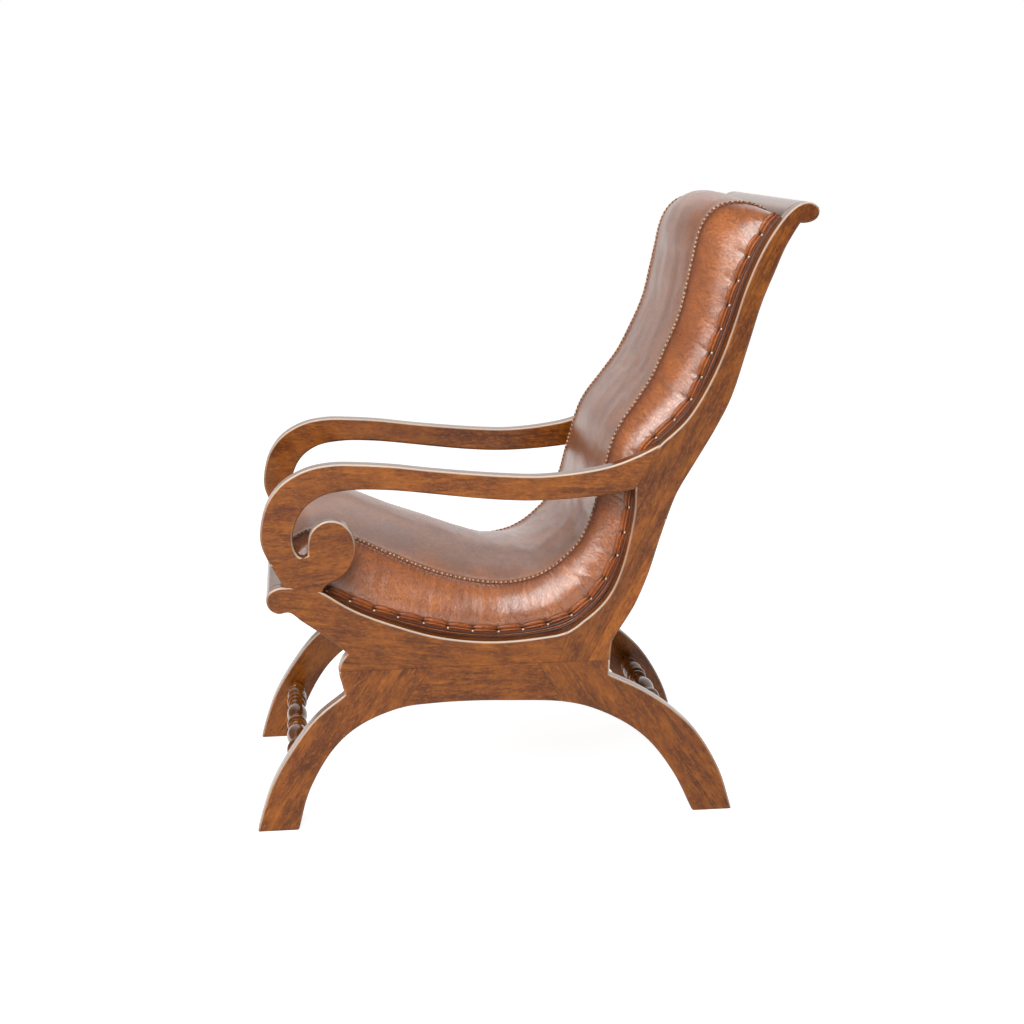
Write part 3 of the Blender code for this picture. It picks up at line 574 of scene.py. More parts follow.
for name, (offset, rub_and_highlight_most) in RAILS.items():
    low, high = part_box(name)
    points = finer(face_outline(name, high.x), unglued)
    mesh = smooth_mesh(name + "_moulded", cut_board(points, high.x, low.x, unglued, 0.0), CORNER_TURN)
    rail = add_wood(mesh, rail_in_log(offset), RAIL_TONE, rubbed_and_highlit_top(rub_and_highlight_most))
    shade_evenly(rail)
    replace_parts(rail, name)
    print(rail.name, len(points), "points round its outline")

# %% Turned stretchers
BAR_RADIUS = 0.0175
SPIN_STEPS = 36
BAR_SHARP = math.radians(50)
BAR_OFFSETS = {"front_stretcher": (4.4, 0.012, 0.02), "rear_stretcher": (4.9, 0.012, 0.02)}
MEMBER_STEPS = {"bead": 9, "swell": 22, "neck": 1}
# Members of half a bar from its middle to its shoulder: kind, start and end as shares of the half
# length, and radii as shares of the largest radius
MEMBERS = (
    ("bead", 0.000, 0.047, 0.98, 0.70), ("bead", 0.047, 0.092, 0.87, 0.60),
    ("swell", 0.092, 0.480, 1.00, 0.55), ("bead", 0.480, 0.542, 0.86, 0.58),
    ("bead", 0.542, 0.620, 1.00, 0.62), ("swell", 0.620, 0.880, 0.96, 0.58),
    ("bead", 0.880, 0.940, 0.86, 0.62), ("neck", 0.940, 1.000, 0.70, 0.70),
)


def member_points(kind, start, end, crest, foot):
    """Share of the length and of the radius along one member. The middle bead is cut in half."""
    points = []
    for k in range(MEMBER_STEPS[kind] + 1):
        t = k / MEMBER_STEPS[kind]
        height = math.sin(math.pi * t ** 0.82) ** 1.5
        if kind == "bead":
            share = t if start else 0.5 + 0.5 * t
            height = math.sqrt(max(0.0, 1.0 - (2.0 * share - 1.0) ** 2))
        points.append((start + (end - start) * t, foot + (crest - foot) * height))
    return points


for name, offset in BAR_OFFSETS.items():
    low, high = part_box(name)
    shoulder = abs(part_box("front_rail")[1].x)
    middle = (low + high) / 2
    half = [
        (share * shoulder, radius * BAR_RADIUS)
        for member in MEMBERS for share, radius in member_points(*member)
    ] + [(shoulder, 0.0)]
    profile = [(-along, radius) for along, radius in half[::-1]] + half[1:]
    shape = bmesh.new()
    line = [shape.verts.new((along, middle.y, middle.z + radius)) for along, radius in profile]
    sides = [shape.edges.new(pair) for pair in zip(line, line[1:])]
    bmesh.ops.spin(
        shape, geom=line + sides, cent=middle, axis=(1.0, 0.0, 0.0), angle=2 * math.pi,
        steps=SPIN_STEPS, use_merge=True,
    )
    bmesh.ops.remove_doubles(shape, verts=shape.verts, dist=MERGE)
    bmesh.ops.recalc_face_normals(shape, faces=shape.faces)
    mesh = smooth_mesh(name + "_turned", shape, BAR_SHARP)
    bar = add_wood(mesh, rail_in_log(offset), BAR_TONE, rubbed_and_highlit_top(0.0))
    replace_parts(bar, name)
    print(bar.name, "from", len(profile), "points")

# %% [markdown]
# ## Reading the pad's lines from the solids
#
# The pad is a long sling, so everything on it is placed by three lines: the foot of its side, where it
# is nailed, the laced seam, and the ridge down the middle of the top panel. The solids hold all three.
# They are read as ordered points and then made finer, so that each stitch and tack finds its place.

# %% Three lines of the pad
ROW_STEP = 0.0022
EDGE_REACH = 0.00003
LACE_REACH, HIDE_REACH, COVER_REACH = 0.0048, 0.004, 0.0034   # points this near belong together
FRONT_Y = -0.37


def corner_points(node, keep):
    """Positions of a solid's vertices that pass a test, each once."""
    found = {tuple(round(part, 5) for part in v.co) for v in nodes[node].data.vertices if keep(v.co)}
    return [Vector(point) for point in sorted(found)]


def clusters(points, reach):
    """Groups of points that lie within reach of each other."""
    groups = []
    for point in points:
        near = [group for group in groups if any((point - other).length < reach for other in group)]
        merged = [point] + [other for group in near for other in group]
        groups = [group for group in groups if group not in near] + [merged]
    return groups


def in_order(points, first):
    """Points walked from the first, always to the nearest one left."""
    left, walk = [point for point in points if point != first], [first]
    while left:
        walk.append(min(left, key=lambda p: (p - walk[-1]).length))
        left.remove(walk[-1])
    return walk


def from_front(points):
    """Points in order from the front of the seat to the crest."""
    return np.array(in_order(points, min((p for p in points if p.y < FRONT_Y), key=lambda p: p.z)))


def from_shell(point):
    return shell.find_nearest(point)[3]


shell = BVHTree.FromPolygons(
    [v.co.copy() for v in nodes["seat_shell"].data.vertices],
    [tuple(face.vertices) for face in nodes["seat_shell"].data.polygons],
)
lace_groups = clusters(corner_points("lace_seam_left", lambda co: True), LACE_REACH)
lace_line = from_front([sum(group, Vector()) / len(group) for group in lace_groups])
ridge_pairs = clusters(corner_points("leather_top_panel", lambda co: abs(co.x) < 0.0001), HIDE_REACH)
ridge_line = from_front([max(pair, key=from_shell) for pair in ridge_pairs])
foot_x = max(v.co.x for v in nodes["leather_boxing_left"].data.vertices)
foot_line = from_front(corner_points("leather_boxing_left", lambda co: co.x > foot_x - EDGE_REACH))
print(len(lace_line), "lace points,", len(ridge_line), "ridge points,", len(foot_line), "foot points")

# %% Finer lines
def chord_lengths(line):
    return np.concatenate([[0.0], np.cumsum(np.linalg.norm(np.diff(line, axis=0), axis=1))])


def read_line(line, known, wanted):
    """Smooth curve through the points of a line, read at other places."""
    slopes = np.gradient(line, known, axis=0)
    i = np.clip(np.searchsorted(known, wanted, side="right") - 1, 0, len(known) - 2)
    gap = (known[i + 1] - known[i])[:, None]
    t = (wanted - known[i])[:, None] / gap
    return curve_between(line[i], line[i + 1], slopes[i], slopes[i + 1], gap, t)


measure = (chord_lengths(lace_line) + chord_lengths(foot_line)) / 2
row_count = round(measure[-1] / ROW_STEP)
stations = np.linspace(0.0, measure[-1], row_count + 1)
lace = read_line(lace_line, measure, stations)
foot = read_line(foot_line, measure, stations)
ridge = read_line(ridge_line, measure, stations)
lace_length, foot_length = chord_lengths(lace), chord_lengths(foot)
heading = np.gradient(lace[:, 1:], lace_length, axis=0)
heading /= np.linalg.norm(heading, axis=1)[:, None]
out = np.stack([-heading[:, 1], heading[:, 0]], axis=1)
crown = np.einsum("ij,ij->i", ridge[:, 1:] - lace[:, 1:], out)
rise = np.linalg.norm(lace[:, 1:] - foot[:, 1:], axis=1)
climb = (lace[:, 1:] - foot[:, 1:]) / rise[:, None]
foot_heading = np.gradient(foot[:, 1:], foot_length, axis=0)
bend = np.gradient(np.unwrap(np.arctan2(foot_heading[:, 1], foot_heading[:, 0])), foot_length)
print(f"{row_count} rows; crown up to {crown.max():.4f} m; side up to {rise.max():.4f} m")

# %% A skin through rows of points
def skin(name, rows, hide, tension_and_shade):
    """Mesh through rows of points, all as long: a grid whose vertices are moved to their places. Each row
    is a ring, and the first and last rings are filled. Each point holds its place on the cut hide and how
    hard the hide is pulled there, which the leather also paints darker as shade."""
    rows, hide, tension_and_shade = (np.concatenate([each, each[:, :1]], axis=1) for each in (rows, hide, tension_and_shade))
    last_row, last_column = rows.shape[0] - 1, rows.shape[1] - 1
    shape = bmesh.new()
    bmesh.ops.create_grid(shape, x_segments=last_column, y_segments=last_row, size=0.5)
    hide_layer = shape.verts.layers.float_vector.new("hide")
    tension_and_shade_layer = shape.verts.layers.float.new("tension_and_shade")
    for vertex in shape.verts:
        column, row = round((vertex.co.x + 0.5) * last_column), round((vertex.co.y + 0.5) * last_row)
        vertex[hide_layer], vertex[tension_and_shade_layer] = hide[row, column], tension_and_shade[row, column]
        vertex.co = rows[row, column]
    bmesh.ops.remove_doubles(shape, verts=shape.verts, dist=MERGE / 4)
    bmesh.ops.holes_fill(shape, edges=[edge for edge in shape.edges if edge.is_boundary], sides=0)
    bmesh.ops.recalc_face_normals(shape, faces=shape.faces)
    return smooth_mesh(name, shape)


def in_section(x, section):
    """Rows of points from x and from places in Y and Z."""
    return np.stack(np.broadcast_arrays(x, section[:, :, 0], section[:, :, 1]), axis=2)


def on_hide(across, along, patch):
    """Places on a cut hide in metres. Each patch number is a hide of its own."""
    return np.stack(np.broadcast_arrays(across, along, patch), axis=2)


def noise_at(points, size, seed):
    """Soft noise from -1 to 1 with features of a real size."""
    shift = Vector((seed * 3.7, seed * 1.3, seed * 2.9))
    values = [noise.noise(Vector(point) / size + shift) for point in points.reshape(-1, 3)]
    return np.array(values).reshape(points.shape[:-1])


print("skin helper ready")

# %% [markdown]
# ## Leather
#
# The hide is waxed full-grain leather: an orange cognac in soft clouds of darker and paler tone. Beside
# each seam it is painted darker, partly as the hide's own pull-up colour and partly as painted shade where
# side and panel turn from the light. The finish adds what is finer than the mesh: the pores, and the
# hair-thin creases that the hide took when it was pulled over the foam.

# %% Leather finish
# Creases: length and width of the net in mm, and how thin its lines are
CREASES = ((8.0, 5.0, 0.045), (4.48, 3.2, 0.07))
PEBBLE_MM = 2.0   # real pores are finer than a pixel of the view, so they are drawn coarser
# Soft clouds and fine mottle: scale, detail, roughness and distortion
CLOUDS = ((16.0, 5.0, 0.62, 0.4), (110.0, 4.0, 0.65, 0.0))
CREASE_RELIEF, WRINKLE_RELIEF, PEBBLE_RELIEF = (0.70, 0.0014), (0.50, 0.0007), (0.14, 0.0004)


def leather_finish(name, pale, middle, deep, gloss, wax, wax_ior):
    """Waxed leather. It reads hide, the place on the cut hide in metres, and the hide's pull, which is 1
    where the hide is pulled hard into a seam and turns the colour deep there, partly as painted shade."""
    finish, tree = new_finish(name)
    hide = add_node(tree, "Attribute", {}, attribute_name="hide")["Vector"]
    tension_and_shade = add_node(tree, "Attribute", {}, attribute_name="tension_and_shade")["Fac"]
    clouds, mottle = (
        add_node(tree, "TexNoise", {
            "Vector": hide, "Scale": scale, "Detail": detail, "Roughness": grit, "Distortion": twist,
        })["Fac"] for scale, detail, grit, twist in CLOUDS
    )
    nets = []
    for length_mm, width_mm, thin in CREASES:
        stretched = add_node(tree, "VectorMath", {
            0: hide, 1: (1000.0 / length_mm, 1000.0 / width_mm, 1.0),
        }, operation="MULTIPLY")[0]
        waves = add_node(tree, "TexNoise", {
            "Vector": stretched, "Scale": 1.0, "Detail": 3.0, "Roughness": 0.5, "Distortion": 1.4,
        })["Fac"]
        line = add_node(tree, "Math", {0: waves, 1: 0.5}, operation="SUBTRACT")[0]
        line = add_node(tree, "Math", {0: line}, operation="ABSOLUTE")[0]
        nets.append(add_node(tree, "MapRange", {"Value": line, "From Max": thin}, **SMOOTH)["Result"])
    creases_and_shade, wrinkles_and_highlight = nets
    pebbles = add_node(tree, "TexVoronoi", {
        "Vector": hide, "Scale": 1000.0 / PEBBLE_MM, "Randomness": 1.0,
    }, feature="SMOOTH_F1")["Distance"]
    colour = linear(middle)
    for value, low, high, reach, code in (
        (clouds, 0.34, 0.68, 1.00, pale), (mottle, 0.50, 0.78, 0.60, deep),
        # the crease lines are painted deep as shade in them, and the finer wrinkle lines pale as a painted
        # highlight
        (creases_and_shade, 1.0, 0.0, 0.45, deep), (wrinkles_and_highlight, 1.0, 0.0, 0.20, pale),
        # the pull into a seam turns the hide deep, partly as painted shade
        (tension_and_shade, 0.10, 1.0, 1.0, deep),
    ):
        mask = add_node(tree, "MapRange", {
            "Value": value, "From Min": low, "From Max": high, "To Max": reach,
        }, **SMOOTH)["Result"]
        colour = add_node(tree, "Mix", {
            FACTOR: mask, FIRST: colour, SECOND: linear(code),
        }, data_type="RGBA")[COLOUR]
    gloss_spots = add_node(tree, "MapRange", {
        "Value": mottle, "To Min": gloss - 0.08, "To Max": gloss + 0.12,
    })["Result"]
    relief = None
    for height, (strength, depth) in (
        (creases_and_shade, CREASE_RELIEF), (wrinkles_and_highlight, WRINKLE_RELIEF), (pebbles, PEBBLE_RELIEF),
    ):
        sockets = {"Height": height, "Strength": strength, "Distance": depth}
        if relief:
            sockets["Normal"] = relief
        relief = add_node(tree, "Bump", sockets)["Normal"]
    surface = add_node(tree, "BsdfPrincipled", {
        "Base Color": colour, "Roughness": gloss_spots, "Normal": relief,
        "IOR": 1.5, "Specular IOR Level": 0.8 * wax,
        "Coat Weight": wax, "Coat Roughness": 0.27, "Coat IOR": wax_ior,
    })
    add_node(tree, "OutputMaterial", {"Surface": surface[0]})
    return finish


# Waxed cognac hide: broad soft shine, since the wax fills the grain
cognac = leather_finish("waxed_cognac_leather", "#A5590F", "#884509", "#6E3205", 0.35, 0.85, 1.5)
# The sides are polished once more by hand, so their bulge carries a stronger band of light
side_hide = leather_finish("polished_cognac_leather", "#AA5A0A", "#8C4607", "#6A2E04", 0.38, 1.0, 1.58)
# The strip nailed along the edge: the same hide, painted darker in its pinches and folds as shade there
welt_hide = leather_finish("waxed_welt_leather", "#AE5A14", "#8C430E", "#461A06", 0.38, 0.45, 1.5)
# The same hide on the back, stained darker and less rubbed
dark_hide = leather_finish("dark_brown_backing_leather", "#6B3A20", "#562C17", "#3E1D0E", 0.46, 0.5, 1.5)
print("leather creases", CREASES[0][1], "mm apart")

# %% [markdown]
# ## Pad
#
# Each side is a strip of hide that is sewn to the panel above and nailed to the frame below, and foam
# swells it between the two. A cloth simulation can't find the nails, laces and pleats, so the skin is
# shaped row by row instead. Every tack draws a few small pleats into it.

# %% Pitches and pleats
TACK_PITCH, LACE_PITCH = 0.040, 0.0075
PLEATS_PER_TACK = 4
tack_total = round(foot_length[-1] / TACK_PITCH)
tack_places = np.linspace(0.0, foot_length[-1], tack_total + 1)
lace_total = round(lace_length[-1] / LACE_PITCH)
lace_phase = 2 * math.pi * lace_length * lace_total / lace_length[-1]
tack_phase = math.pi * foot_length * tack_total / foot_length[-1]
soft = np.random.default_rng(7)
# Place along the foot, slant, strength and reach up the side
pleats = [
    (
        place + soft.normal(0.0, 0.004), soft.uniform(-0.75, 0.75),
        soft.uniform(0.15, 1.0) ** 1.5, soft.uniform(0.006, 0.017),
    )
    for place in tack_places for _ in range(PLEATS_PER_TACK)
]
print(tack_total, "tacks,", lace_total, "turns of lace and", len(pleats), "pleats on a side")

# %% Outer skin of a side
SIDE_COLUMNS = 26
PUFF = 0.0105
FULL_RISE = 0.060   # a side as high as this is stuffed full
SCALLOP, PLEAT_DEPTH, PLEAT_WIDTH = 0.0016, 0.0019, 0.0021
LACE_DENT, SIDE_SWAY = 0.0006, 0.0005
RIPPLE, BENT_RIPPLE = 0.0002, 0.0005
LACE_GAP = 0.0038
share = np.linspace(0.0, 1.0, SIDE_COLUMNS + 1)
fullness = np.minimum(1.0, rise / FULL_RISE)


def side_rows(seed):
    """Outer skin of a side: it swells between foot and lace, is drawn down to each tack in small
    pleats, and ripples where the sling bends."""
    along = foot_length[:, None] + np.zeros_like(share)[None, :]
    height = share[None, :] * rise[:, None]
    push = PUFF * fullness[:, None] * (1.0 - np.abs(2.0 * share ** 0.95 - 1.0) ** 2.0)[None, :]
    scallop = np.abs(np.sin(tack_phase))[:, None] ** 0.7
    near_foot = np.exp(-height / 0.012)
    push = push + SCALLOP * (scallop - 0.6) * near_foot * np.minimum(1.0, height / 0.004)
    for place, slant, strength, reach in pleats:
        offset = along - place - slant * height
        fold = np.exp(-((offset / PLEAT_WIDTH) ** 2)) * np.exp(-height / reach)
        push -= PLEAT_DEPTH * strength * fold * np.minimum(1.0, height / 0.003)
    near_lace = np.exp(-(rise[:, None] - height) / 0.004)
    push -= LACE_DENT * near_lace * np.cos(lace_phase)[:, None]
    between = np.sin(math.pi * share)[None, :]
    tight = np.clip(bend / 6.0, -0.4, 1.0)[:, None] * fullness[:, None]
    ripple = noise_at(on_hide(height * 0.35 + along * 0.25, along, seed), 0.013, seed)
    push += (RIPPLE + BENT_RIPPLE * np.maximum(0.0, tight)) * ripple * between ** 0.5
    push += SIDE_SWAY * noise_at(on_hide(height * 1.4, along, seed), 0.045, seed + 1) * between
    slope_x, slope_up = (lace[:, 0] + LACE_GAP - foot_x)[:, None], rise[:, None]
    size = np.hypot(slope_x, slope_up)
    lift = height - push * slope_x / size * 0.6
    x = foot_x + slope_x * share[None, :] + push * slope_up / size
    return in_section(x, foot[:, None, 1:] + climb[:, None, :] * lift[:, :, None]), height, along


print("sides have", len(share), "points in a row")

# %% Sides of the pad
SIDE_WALL, SIDE_OVERLAP = 0.006, 0.030
SIDE_SEEDS = {"left": 11.0, "right": 23.0}
for side, sign in SIDES:
    rows, heights, alongs = (
        np.concatenate([each, each[:, ::-5]], axis=1) for each in side_rows(SIDE_SEEDS[side])
    )
    back = rows[:, len(share):]
    back[:, :, 0] = np.minimum(back[:, :, 0], lace[:, None, 0] + SIDE_OVERLAP) - SIDE_WALL
    rows[:, :, 0] *= sign
    # Deep near the foot and the lace: the hide's own pull into the seams, and painted shade where the side
    # turns from the light
    tension_and_shade = np.exp(-np.minimum(heights, rise[:, None] - heights) / 0.009)
    mesh = skin(f"pad_side_{side}", rows, on_hide(heights, alongs, 1.0 + sign), tension_and_shade)
    piece = add_piece(mesh, side_hide)
    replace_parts(piece, f"leather_boxing_{side}")
    print(piece.name, len(mesh.polygons), "faces")

# %% [markdown]
# ## Top panel
#
# The panel is one long hide over a crowned slab of foam. Its crown is read from the solid, and the
# hide dips into the seam at its edges and gathers in shallow waves where the sling bends.

# %% Top panel over its foam
PANEL_COLUMNS = 88
SEAM_GAP, PANEL_UNDER = 0.0022, 0.0018
WELT_RISE, SEAM_DIP = 0.0018, 0.0012
PANEL_SWAY, PANEL_WAVE, BENT_WAVE = 0.0011, 0.0002, 0.0006
across = np.linspace(-1.0, 1.0, PANEL_COLUMNS + 1)
edge = lace[:, 0] - SEAM_GAP
x = across[None, :] * edge[:, None]
gap = (1.0 - np.abs(across))[None, :] * edge[:, None]
along = lace_length[:, None] + np.zeros_like(across)[None, :]
flat = on_hide(x, along, 0.0)
lift = crown[:, None] * (1.0 - across ** 2)[None, :]
lift += WELT_RISE * np.exp(-(((gap - 0.006) / 0.005) ** 2)) - SEAM_DIP * np.exp(-gap / 0.002)
lift -= LACE_DENT * np.exp(-gap / 0.005) * np.cos(lace_phase)[:, None]
calm = np.minimum(1.0, gap / 0.02)
lift += PANEL_SWAY * noise_at(flat, 0.060, 3.0) * calm
tight = np.clip(bend / 6.0, 0.0, 1.0)[:, None]
lift += (PANEL_WAVE + BENT_WAVE * tight) * noise_at(flat * np.array([0.28, 1.0, 1.0]), 0.014, 5.0) * calm
points = in_section(x, lace[:, None, 1:] + out[:, None, :] * lift[:, :, None])
under_x = x[:, ::-8] * 0.985
under = in_section(under_x, foot[:, None, 1:] - climb[:, None, :] * PANEL_UNDER)
rows = np.concatenate([points, under], axis=1)
hide = np.concatenate([flat, on_hide(under_x, along[:, ::-8], 1.0)], axis=1)
# Deep beside the seam: the hide's pull, and painted shade where the panel dips into the seam
tension_and_shade = np.concatenate([np.exp(-gap / 0.006), np.zeros_like(under_x)], axis=1)
panel = add_piece(skin("pad_panel", rows, hide, tension_and_shade), cognac)
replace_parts(panel, "leather_top_panel", "foam_core")
print(panel.name, len(panel.data.polygons), "faces")

# %% [markdown]
# ## Laced seam
#
# Panel and sides are laced together edge to edge with a dark thong, and waxed cream thread shows
# between its turns. A thin rolled ridge carries the lace. Real thong would be a long helix, but only its
# upper turns are seen, so each turn and each stitch is a small ellipsoid set on the ridge.

# %% Finishes of the trim
def plain_finish(name, colour, roughness, coat, metallic=0.0, size_mm=4.0, depth=0.25):
    """Small trim: one colour that turns deeper in patches of a real size, with a fine relief."""
    finish, tree = new_finish(name)
    place = add_node(tree, "TexCoord", {})["Object"]
    patches = add_node(tree, "TexNoise", {"Vector": place, "Scale": 1000.0 / size_mm, "Detail": 3.0})["Fac"]
    mask = add_node(tree, "MapRange", {
        "Value": patches, "From Min": 0.35, "From Max": 0.7,
    }, **SMOOTH)["Result"]
    deeper = [part * (1.0 - depth) ** 2 for part in linear(colour)[:3]]
    tint = add_node(tree, "Mix", {
        FACTOR: mask, FIRST: linear(colour), SECOND: (*deeper, 1.0),
    }, data_type="RGBA")[COLOUR]
    relief = add_node(tree, "Bump", {"Height": patches, "Strength": 0.2, "Distance": 0.0003})["Normal"]
    surface = add_node(tree, "BsdfPrincipled", {
        "Base Color": tint, "Roughness": roughness, "Metallic": metallic, "Normal": relief,
        "Coat Weight": coat, "Coat Roughness": 0.2,
    })
    add_node(tree, "OutputMaterial", {"Surface": surface[0]})
    return finish


# Oiled thong: dark red brown with a soft shine. Waxed linen: cream gone brown, matt
thong = plain_finish("oiled_brown_leather_thong", "#74401E", 0.38, 0.3)
linen = plain_finish("waxed_cream_linen_thread", "#C79A76", 0.6, 0.0)
# Plated tacks: a dull, warm glint
plated = plain_finish("worn_nickel_plated_steel", "#C4A78C", 0.50, 0.0, metallic=1.0, depth=0.15)
# Plywood stained dark, so that it recedes behind the pad. Bare rails: pale, dry wood
stained_ply = plain_finish("brown_stained_plywood", "#3C1E0E", 0.95, 0.0, size_mm=25.0)
raw_wood = plain_finish("sanded_bare_hardwood", "#A87A4C", 0.65, 0.0, size_mm=30.0)
print("trim finishes ready")

# %% Ridge, thong and cream stitches
RIDGE_RADIUS = 0.0024
# Finish, half sizes aside, along and out, shift on the ridge, lean in degrees, and place between turns
LACE_PARTS = {
    "thong": (thong, (0.0052, 0.0027, 0.0027), (0.0, 0.0, 0.0012), 24, 0.0),
    "thread": (linen, (0.0031, 0.0019, 0.0020), (0.0016, 0.0, 0.0022), -18, 0.5),
}
side_dir = np.zeros_like(lace)
side_dir[:, 0] = 1.0
out_dir = np.concatenate([np.zeros((len(out), 1)), out], axis=1)


def tube_rows(middle, side_way, up_way, radii, count):
    """Rings round a line. side_way and up_way are unit vectors square to it."""
    angles = np.linspace(0.0, 2 * math.pi, count, endpoint=False)[None, :, None]
    ring = np.cos(angles) * side_way[:, None, :] + np.sin(angles) * up_way[:, None, :]
    return middle[:, None, :] + ring * radii[:, None, None]


def add_knobs(name, places, around, rings, finish):
    """One piece of many small ellipsoids: the unit sphere under each matrix."""
    shape = bmesh.new()
    for place in places:
        bmesh.ops.create_uvsphere(shape, u_segments=around, v_segments=rings, radius=1.0, matrix=place)
    return add_piece(smooth_mesh(name, shape), finish)


def row_at(lengths, place):
    return min(int(np.searchsorted(lengths, place)), len(lengths) - 2)


def lace_place(line, place):
    """Matrix of a place on the lace whose axes point aside, along and out of the pad."""
    i = row_at(lace_length, place)
    where, out_way = Vector(line[i]), Vector(out_dir[i])
    ahead_way = (Vector(line[i + 1]) - where).normalized()
    side_way = ahead_way.cross(out_way).normalized()
    return Matrix.Translation(where) @ Matrix((side_way, ahead_way, out_way)).transposed().to_4x4()


for side, sign in SIDES:
    line = lace * np.array([sign, 1.0, 1.0])
    rows = tube_rows(line, side_dir * sign, out_dir, np.full(len(line), RIDGE_RADIUS), 10)
    mesh = skin(f"lace_ridge_{side}", rows, np.zeros(rows.shape), np.ones(rows.shape[:2]))
    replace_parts(add_piece(mesh, thong), f"lace_seam_{side}")
    for kind, (finish, half_sizes, shift, lean, offset) in LACE_PARTS.items():
        on_ridge = (
            Matrix.Translation(shift) @ Matrix.Rotation(math.radians(lean), 4, "Z")
            @ Matrix.Diagonal((*half_sizes, 1.0))
        )
        turns = [lace_place(line, (k + offset) * lace_length[-1] / lace_total) for k in range(lace_total)]
        add_knobs(f"lace_{kind}_{side}", [turn @ on_ridge for turn in turns], 8, 5, finish)
    print(mesh.name, lace_total, "turns of lace")

# %% [markdown]
# ## Nailed piping
#
# A folded strip of the same hide hides the pad's edge. It is nailed every 40 mm, so it is pinched flat
# at each tack and puffs up between them. A fold and a cord show beside it, and three folded layers of
# hide fill the space down to the board.

# %% Piping, fold and cord
PIPING_RADIUS, PIPING_PINCH, PIPING_SINK = 0.0046, 0.26, 0.0024
PIPING_STRIP, LAYER_STRIP = 0.028, 0.012   # widths of the strips of hide
foot_out = np.stack([-foot_heading[:, 1], foot_heading[:, 0]], axis=1)
foot_out /= np.linalg.norm(foot_out, axis=1)[:, None]
foot_up = np.concatenate([np.zeros((len(foot_out), 1)), foot_out], axis=1)
puffs = PIPING_PINCH + (1.0 - PIPING_PINCH) * np.abs(np.sin(tack_phase)) ** 0.5
# Name, distance outward and above the foot, radius, swelling between the tacks, points round, and how
# flat the roll lies
TRIM_LINES = (
    ("piping", 0.0040, 0.0052, PIPING_RADIUS, puffs, 12, 0.55),
    ("piping_fold", 0.0068, 0.0008, 0.0023, 0.3 + 0.7 * puffs, 10, 0.8),
    ("piping_cord", 0.0092, -0.0022, 0.0012, np.ones_like(puffs), 8, 1.0),
)


def add_roll(name, line, aside, radii, count, strip, patch, tension_and_shade):
    """Roll of hide along the foot: aside is how wide it is for its height."""
    rows = tube_rows(line, side_dir * aside, foot_up, radii, count)
    hide = on_hide(np.linspace(0.0, strip, count)[None, :], foot_length[:, None], patch)
    mesh = skin(name, rows, hide, tension_and_shade + np.zeros(rows.shape[:2]))
    return add_piece(mesh, welt_hide)


for side, sign in SIDES:
    for name, aside, above_foot, radius, shares, count, flatness in TRIM_LINES:
        line = foot.copy()
        line[:, 0] = (foot_x + aside) * sign
        line[:, 1:] += foot_out * (above_foot + PIPING_SINK * (shares - 0.7))[:, None]
        # The pinch at each tack is painted deep, as shade in the fold there
        pinch_and_shade = (1.0 - shares)[:, None] / (1.0 - PIPING_PINCH)
        roll = add_roll(
            f"{name}_{side}", line, sign * flatness, radius * shares, count, PIPING_STRIP, 5.0, pinch_and_shade
        )
        if name == "piping":
            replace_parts(roll, f"nailed_welt_{side}")
            print(roll.name, tack_total, "puffs")

# %% Folded layers down to the board
# How deep each folded layer is painted, which stands for the shade in the recess under the piping
LAYER_TENSIONS_AND_SHADE = (0.9, 0.45, 1.0)
LAYERS = len(LAYER_TENSIONS_AND_SHADE)
LAYER_LEAST, LAYER_OVERLAP = 0.0013, 1.35
DROP_STEP, DROP_STEPS = 0.0004, 60
SMOOTHED = 13   # rows that the distance to the board is averaged over
shell_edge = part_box("seat_shell")[1].x
edge_boards = [outlines[name] for name in ("seat_rail", "back_post", "arm_scroll", "arm")]


def drop_to_board(point, down):
    """How far a point of the pad's edge lies from the boards, along a direction."""
    for step in range(DROP_STEPS):
        probe = point + down * (step * DROP_STEP)
        if any(inside(probe, ring) for ring in edge_boards):
            return step * DROP_STEP
    return 0.0


drops = np.array([drop_to_board(Vector(f[1:]), -Vector(o)) for f, o in zip(foot, foot_out)])
padded_drops = np.pad(drops, SMOOTHED // 2, mode="edge")
drops = np.convolve(padded_drops, np.ones(SMOOTHED) / SMOOTHED, mode="valid")
print("layers fill up to", round(float(drops.max()) * 1000, 1), "mm")
for side, sign in SIDES:
    for k, tension_and_shade in enumerate(LAYER_TENSIONS_AND_SHADE):
        line = foot.copy()
        line[:, 0] = (shell_edge + 0.0004) * sign
        line[:, 1:] -= foot_out * (drops * (k + 0.5) / LAYERS + 0.0006)[:, None]
        radii = np.maximum(LAYER_LEAST, drops / (2 * LAYERS) * LAYER_OVERLAP)
        add_roll(f"folded_layer_{k + 1}_{side}", line, sign, radii, 8, LAYER_STRIP, 7.0 + k, tension_and_shade)

# %% Tacks
TACK_RADIUS, TACK_FLATNESS = 0.0025, 0.55
TACK_ASIDE, TACK_TILT = 0.0096, 0.55
head_shape = Matrix.Diagonal((TACK_RADIUS, TACK_RADIUS, TACK_RADIUS * TACK_FLATNESS, 1.0))
for side, sign in SIDES:
    heads = []
    for place in tack_places[:-1]:
        i = row_at(foot_length, place)
        where = Vector(foot[i]) + Vector(foot_up[i]) * 0.0004
        where.x = (foot_x + TACK_ASIDE) * sign
        normal = (Vector((sign, 0.0, 0.0)) + Vector(foot_up[i]) * TACK_TILT).normalized()
        turn = normal.to_track_quat("Z", "Y").to_matrix().to_4x4()
        heads.append(Matrix.Translation(where) @ turn @ head_shape)
    tacks = add_knobs(f"tacks_{side}", heads, 12, 7, plated)
    print(tacks.name, len(heads))

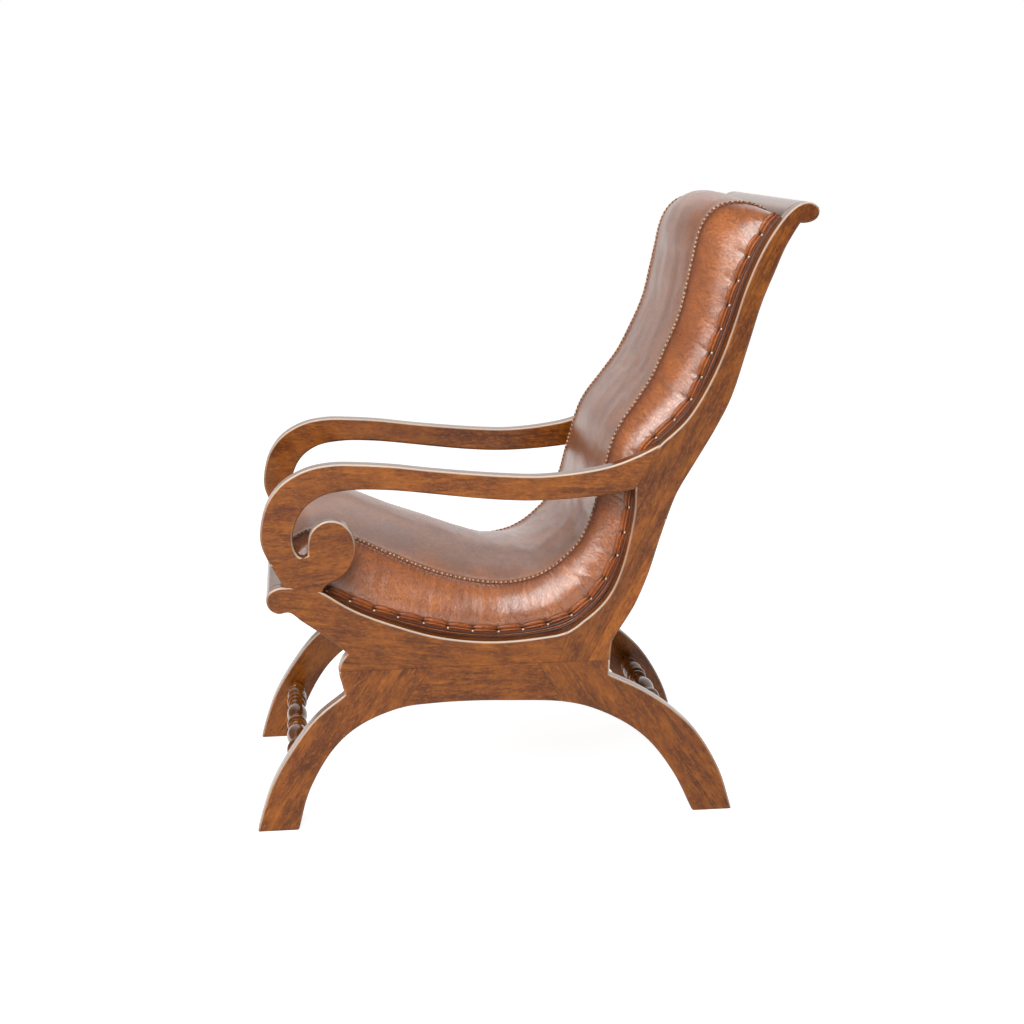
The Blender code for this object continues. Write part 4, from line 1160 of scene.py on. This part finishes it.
# %% [markdown]
# ## Covers and hidden wood
#
# A black cloth closes the seat from below, and a darker hide covers the outside of the back. Both are
# stretched from rail to rail, so each is a thin sheet along its solid that sags a little in its middle.
# The hidden rails are sanded bare wood. Tenons and the bent shell are stained, as their edges can show.

# %% Black cloth
THREAD_MM = 2.0   # cambric has threads of about 0.5 mm; they are drawn coarser so that the weave shows
black_cloth, tree = new_finish("black_cambric_dust_cloth")
place = add_node(tree, "Attribute", {}, attribute_name="hide")["Vector"]
weave = [
    add_node(tree, "TexWave", {
        "Vector": place, "Scale": WAVE_MM / THREAD_MM,
    }, wave_type="BANDS", bands_direction=way)["Fac"]
    for way in ("X", "Y")
]
threads = add_node(tree, "Math", {0: weave[0], 1: weave[1]}, operation="MULTIPLY")[0]
woven = add_node(tree, "Mix", {
    FACTOR: threads, FIRST: linear("#141312"), SECOND: linear("#2B2826"),
}, data_type="RGBA")[COLOUR]
relief = add_node(tree, "Bump", {"Height": threads, "Strength": 0.5, "Distance": 0.0004})["Normal"]
surface = add_node(tree, "BsdfPrincipled", {"Base Color": woven, "Roughness": 0.95, "Normal": relief})
add_node(tree, "OutputMaterial", {"Surface": surface[0]})
print("threads", THREAD_MM, "mm apart")

# %% Cloth and back leather
COVER_STEP, COVER_COLUMNS, INNER_COLUMNS = 0.008, 61, 13
COVER_WRINKLE = 0.0006
# Solid, piece, finish, slot, how far the sheet is pulled out of flat, and the rails that hold it
COVERS = (
    ("dust_cover", "dust_cover_cloth", black_cloth, "dust_cloth", 0.0040,
     ["seat_cross_rail_front", "seat_cross_rail_rear"]),
    ("back_cover", "back_cover_hide", dark_hide, "dark_leather", 0.0014,
     ["back_cross_rail_lower", "back_cross_rail_upper"]),
)


for node, name, finish, slot, pull, rails in COVERS:
    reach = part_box(node)[1].x
    pairs = clusters(corner_points(node, lambda co: co.x > reach - EDGE_REACH), COVER_REACH)
    near = [min(pair, key=from_shell) for pair in pairs]
    far = [max(pair, key=from_shell) for pair in pairs]
    far = in_order(far, min(far, key=lambda p: p.y + p.z))
    near = [min(near, key=lambda q: (q - p).length) for p in far]
    known = chord_lengths(far)
    wanted = np.linspace(0.0, known[-1], round(known[-1] / COVER_STEP) + 1)
    face_line, inner_line = (read_line(np.array(line), known, wanted) for line in (far, near))
    away = face_line - inner_line
    away /= np.linalg.norm(away, axis=1)[:, None]
    columns = np.linspace(-1.0, 1.0, COVER_COLUMNS)
    outer = in_section(columns * reach, face_line[:, None, 1:])
    inner = in_section(np.linspace(1.0, -1.0, INNER_COLUMNS) * reach, inner_line[:, None, 1:])
    place = on_hide(outer[:, :, 0], wanted[:, None], 0.0)
    middle = (1.0 - columns ** 4)[None, :] * np.sin(math.pi * wanted / wanted[-1]).clip(0.0)[:, None] ** 0.5
    puff = (pull + COVER_WRINKLE * noise_at(place, 0.035, 9.0)) * middle
    outer += away[:, None, :] * puff[:, :, None]
    rows = np.concatenate([outer, inner], axis=1)
    hide = np.concatenate([place, on_hide(inner[:, :, 0], wanted[:, None], 1.0)], axis=1)
    piece = add_piece(skin(name, rows, hide, np.zeros(rows.shape[:2])), finish)
    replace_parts(piece, node)
    flat = (2 * reach, known[-1])
    print(f"{piece.name} is cut {flat[0]:.3f} by {flat[1]:.3f} m")

# %% Wood that is hidden
for name, node in nodes.items():
    if "tenon" in name or "cross_rail" in name or name == "seat_shell":
        for slot in node.material_slots:
            slot.material = raw_wood if "cross_rail" in name else stained_ply
print("hidden joinery has its finish")
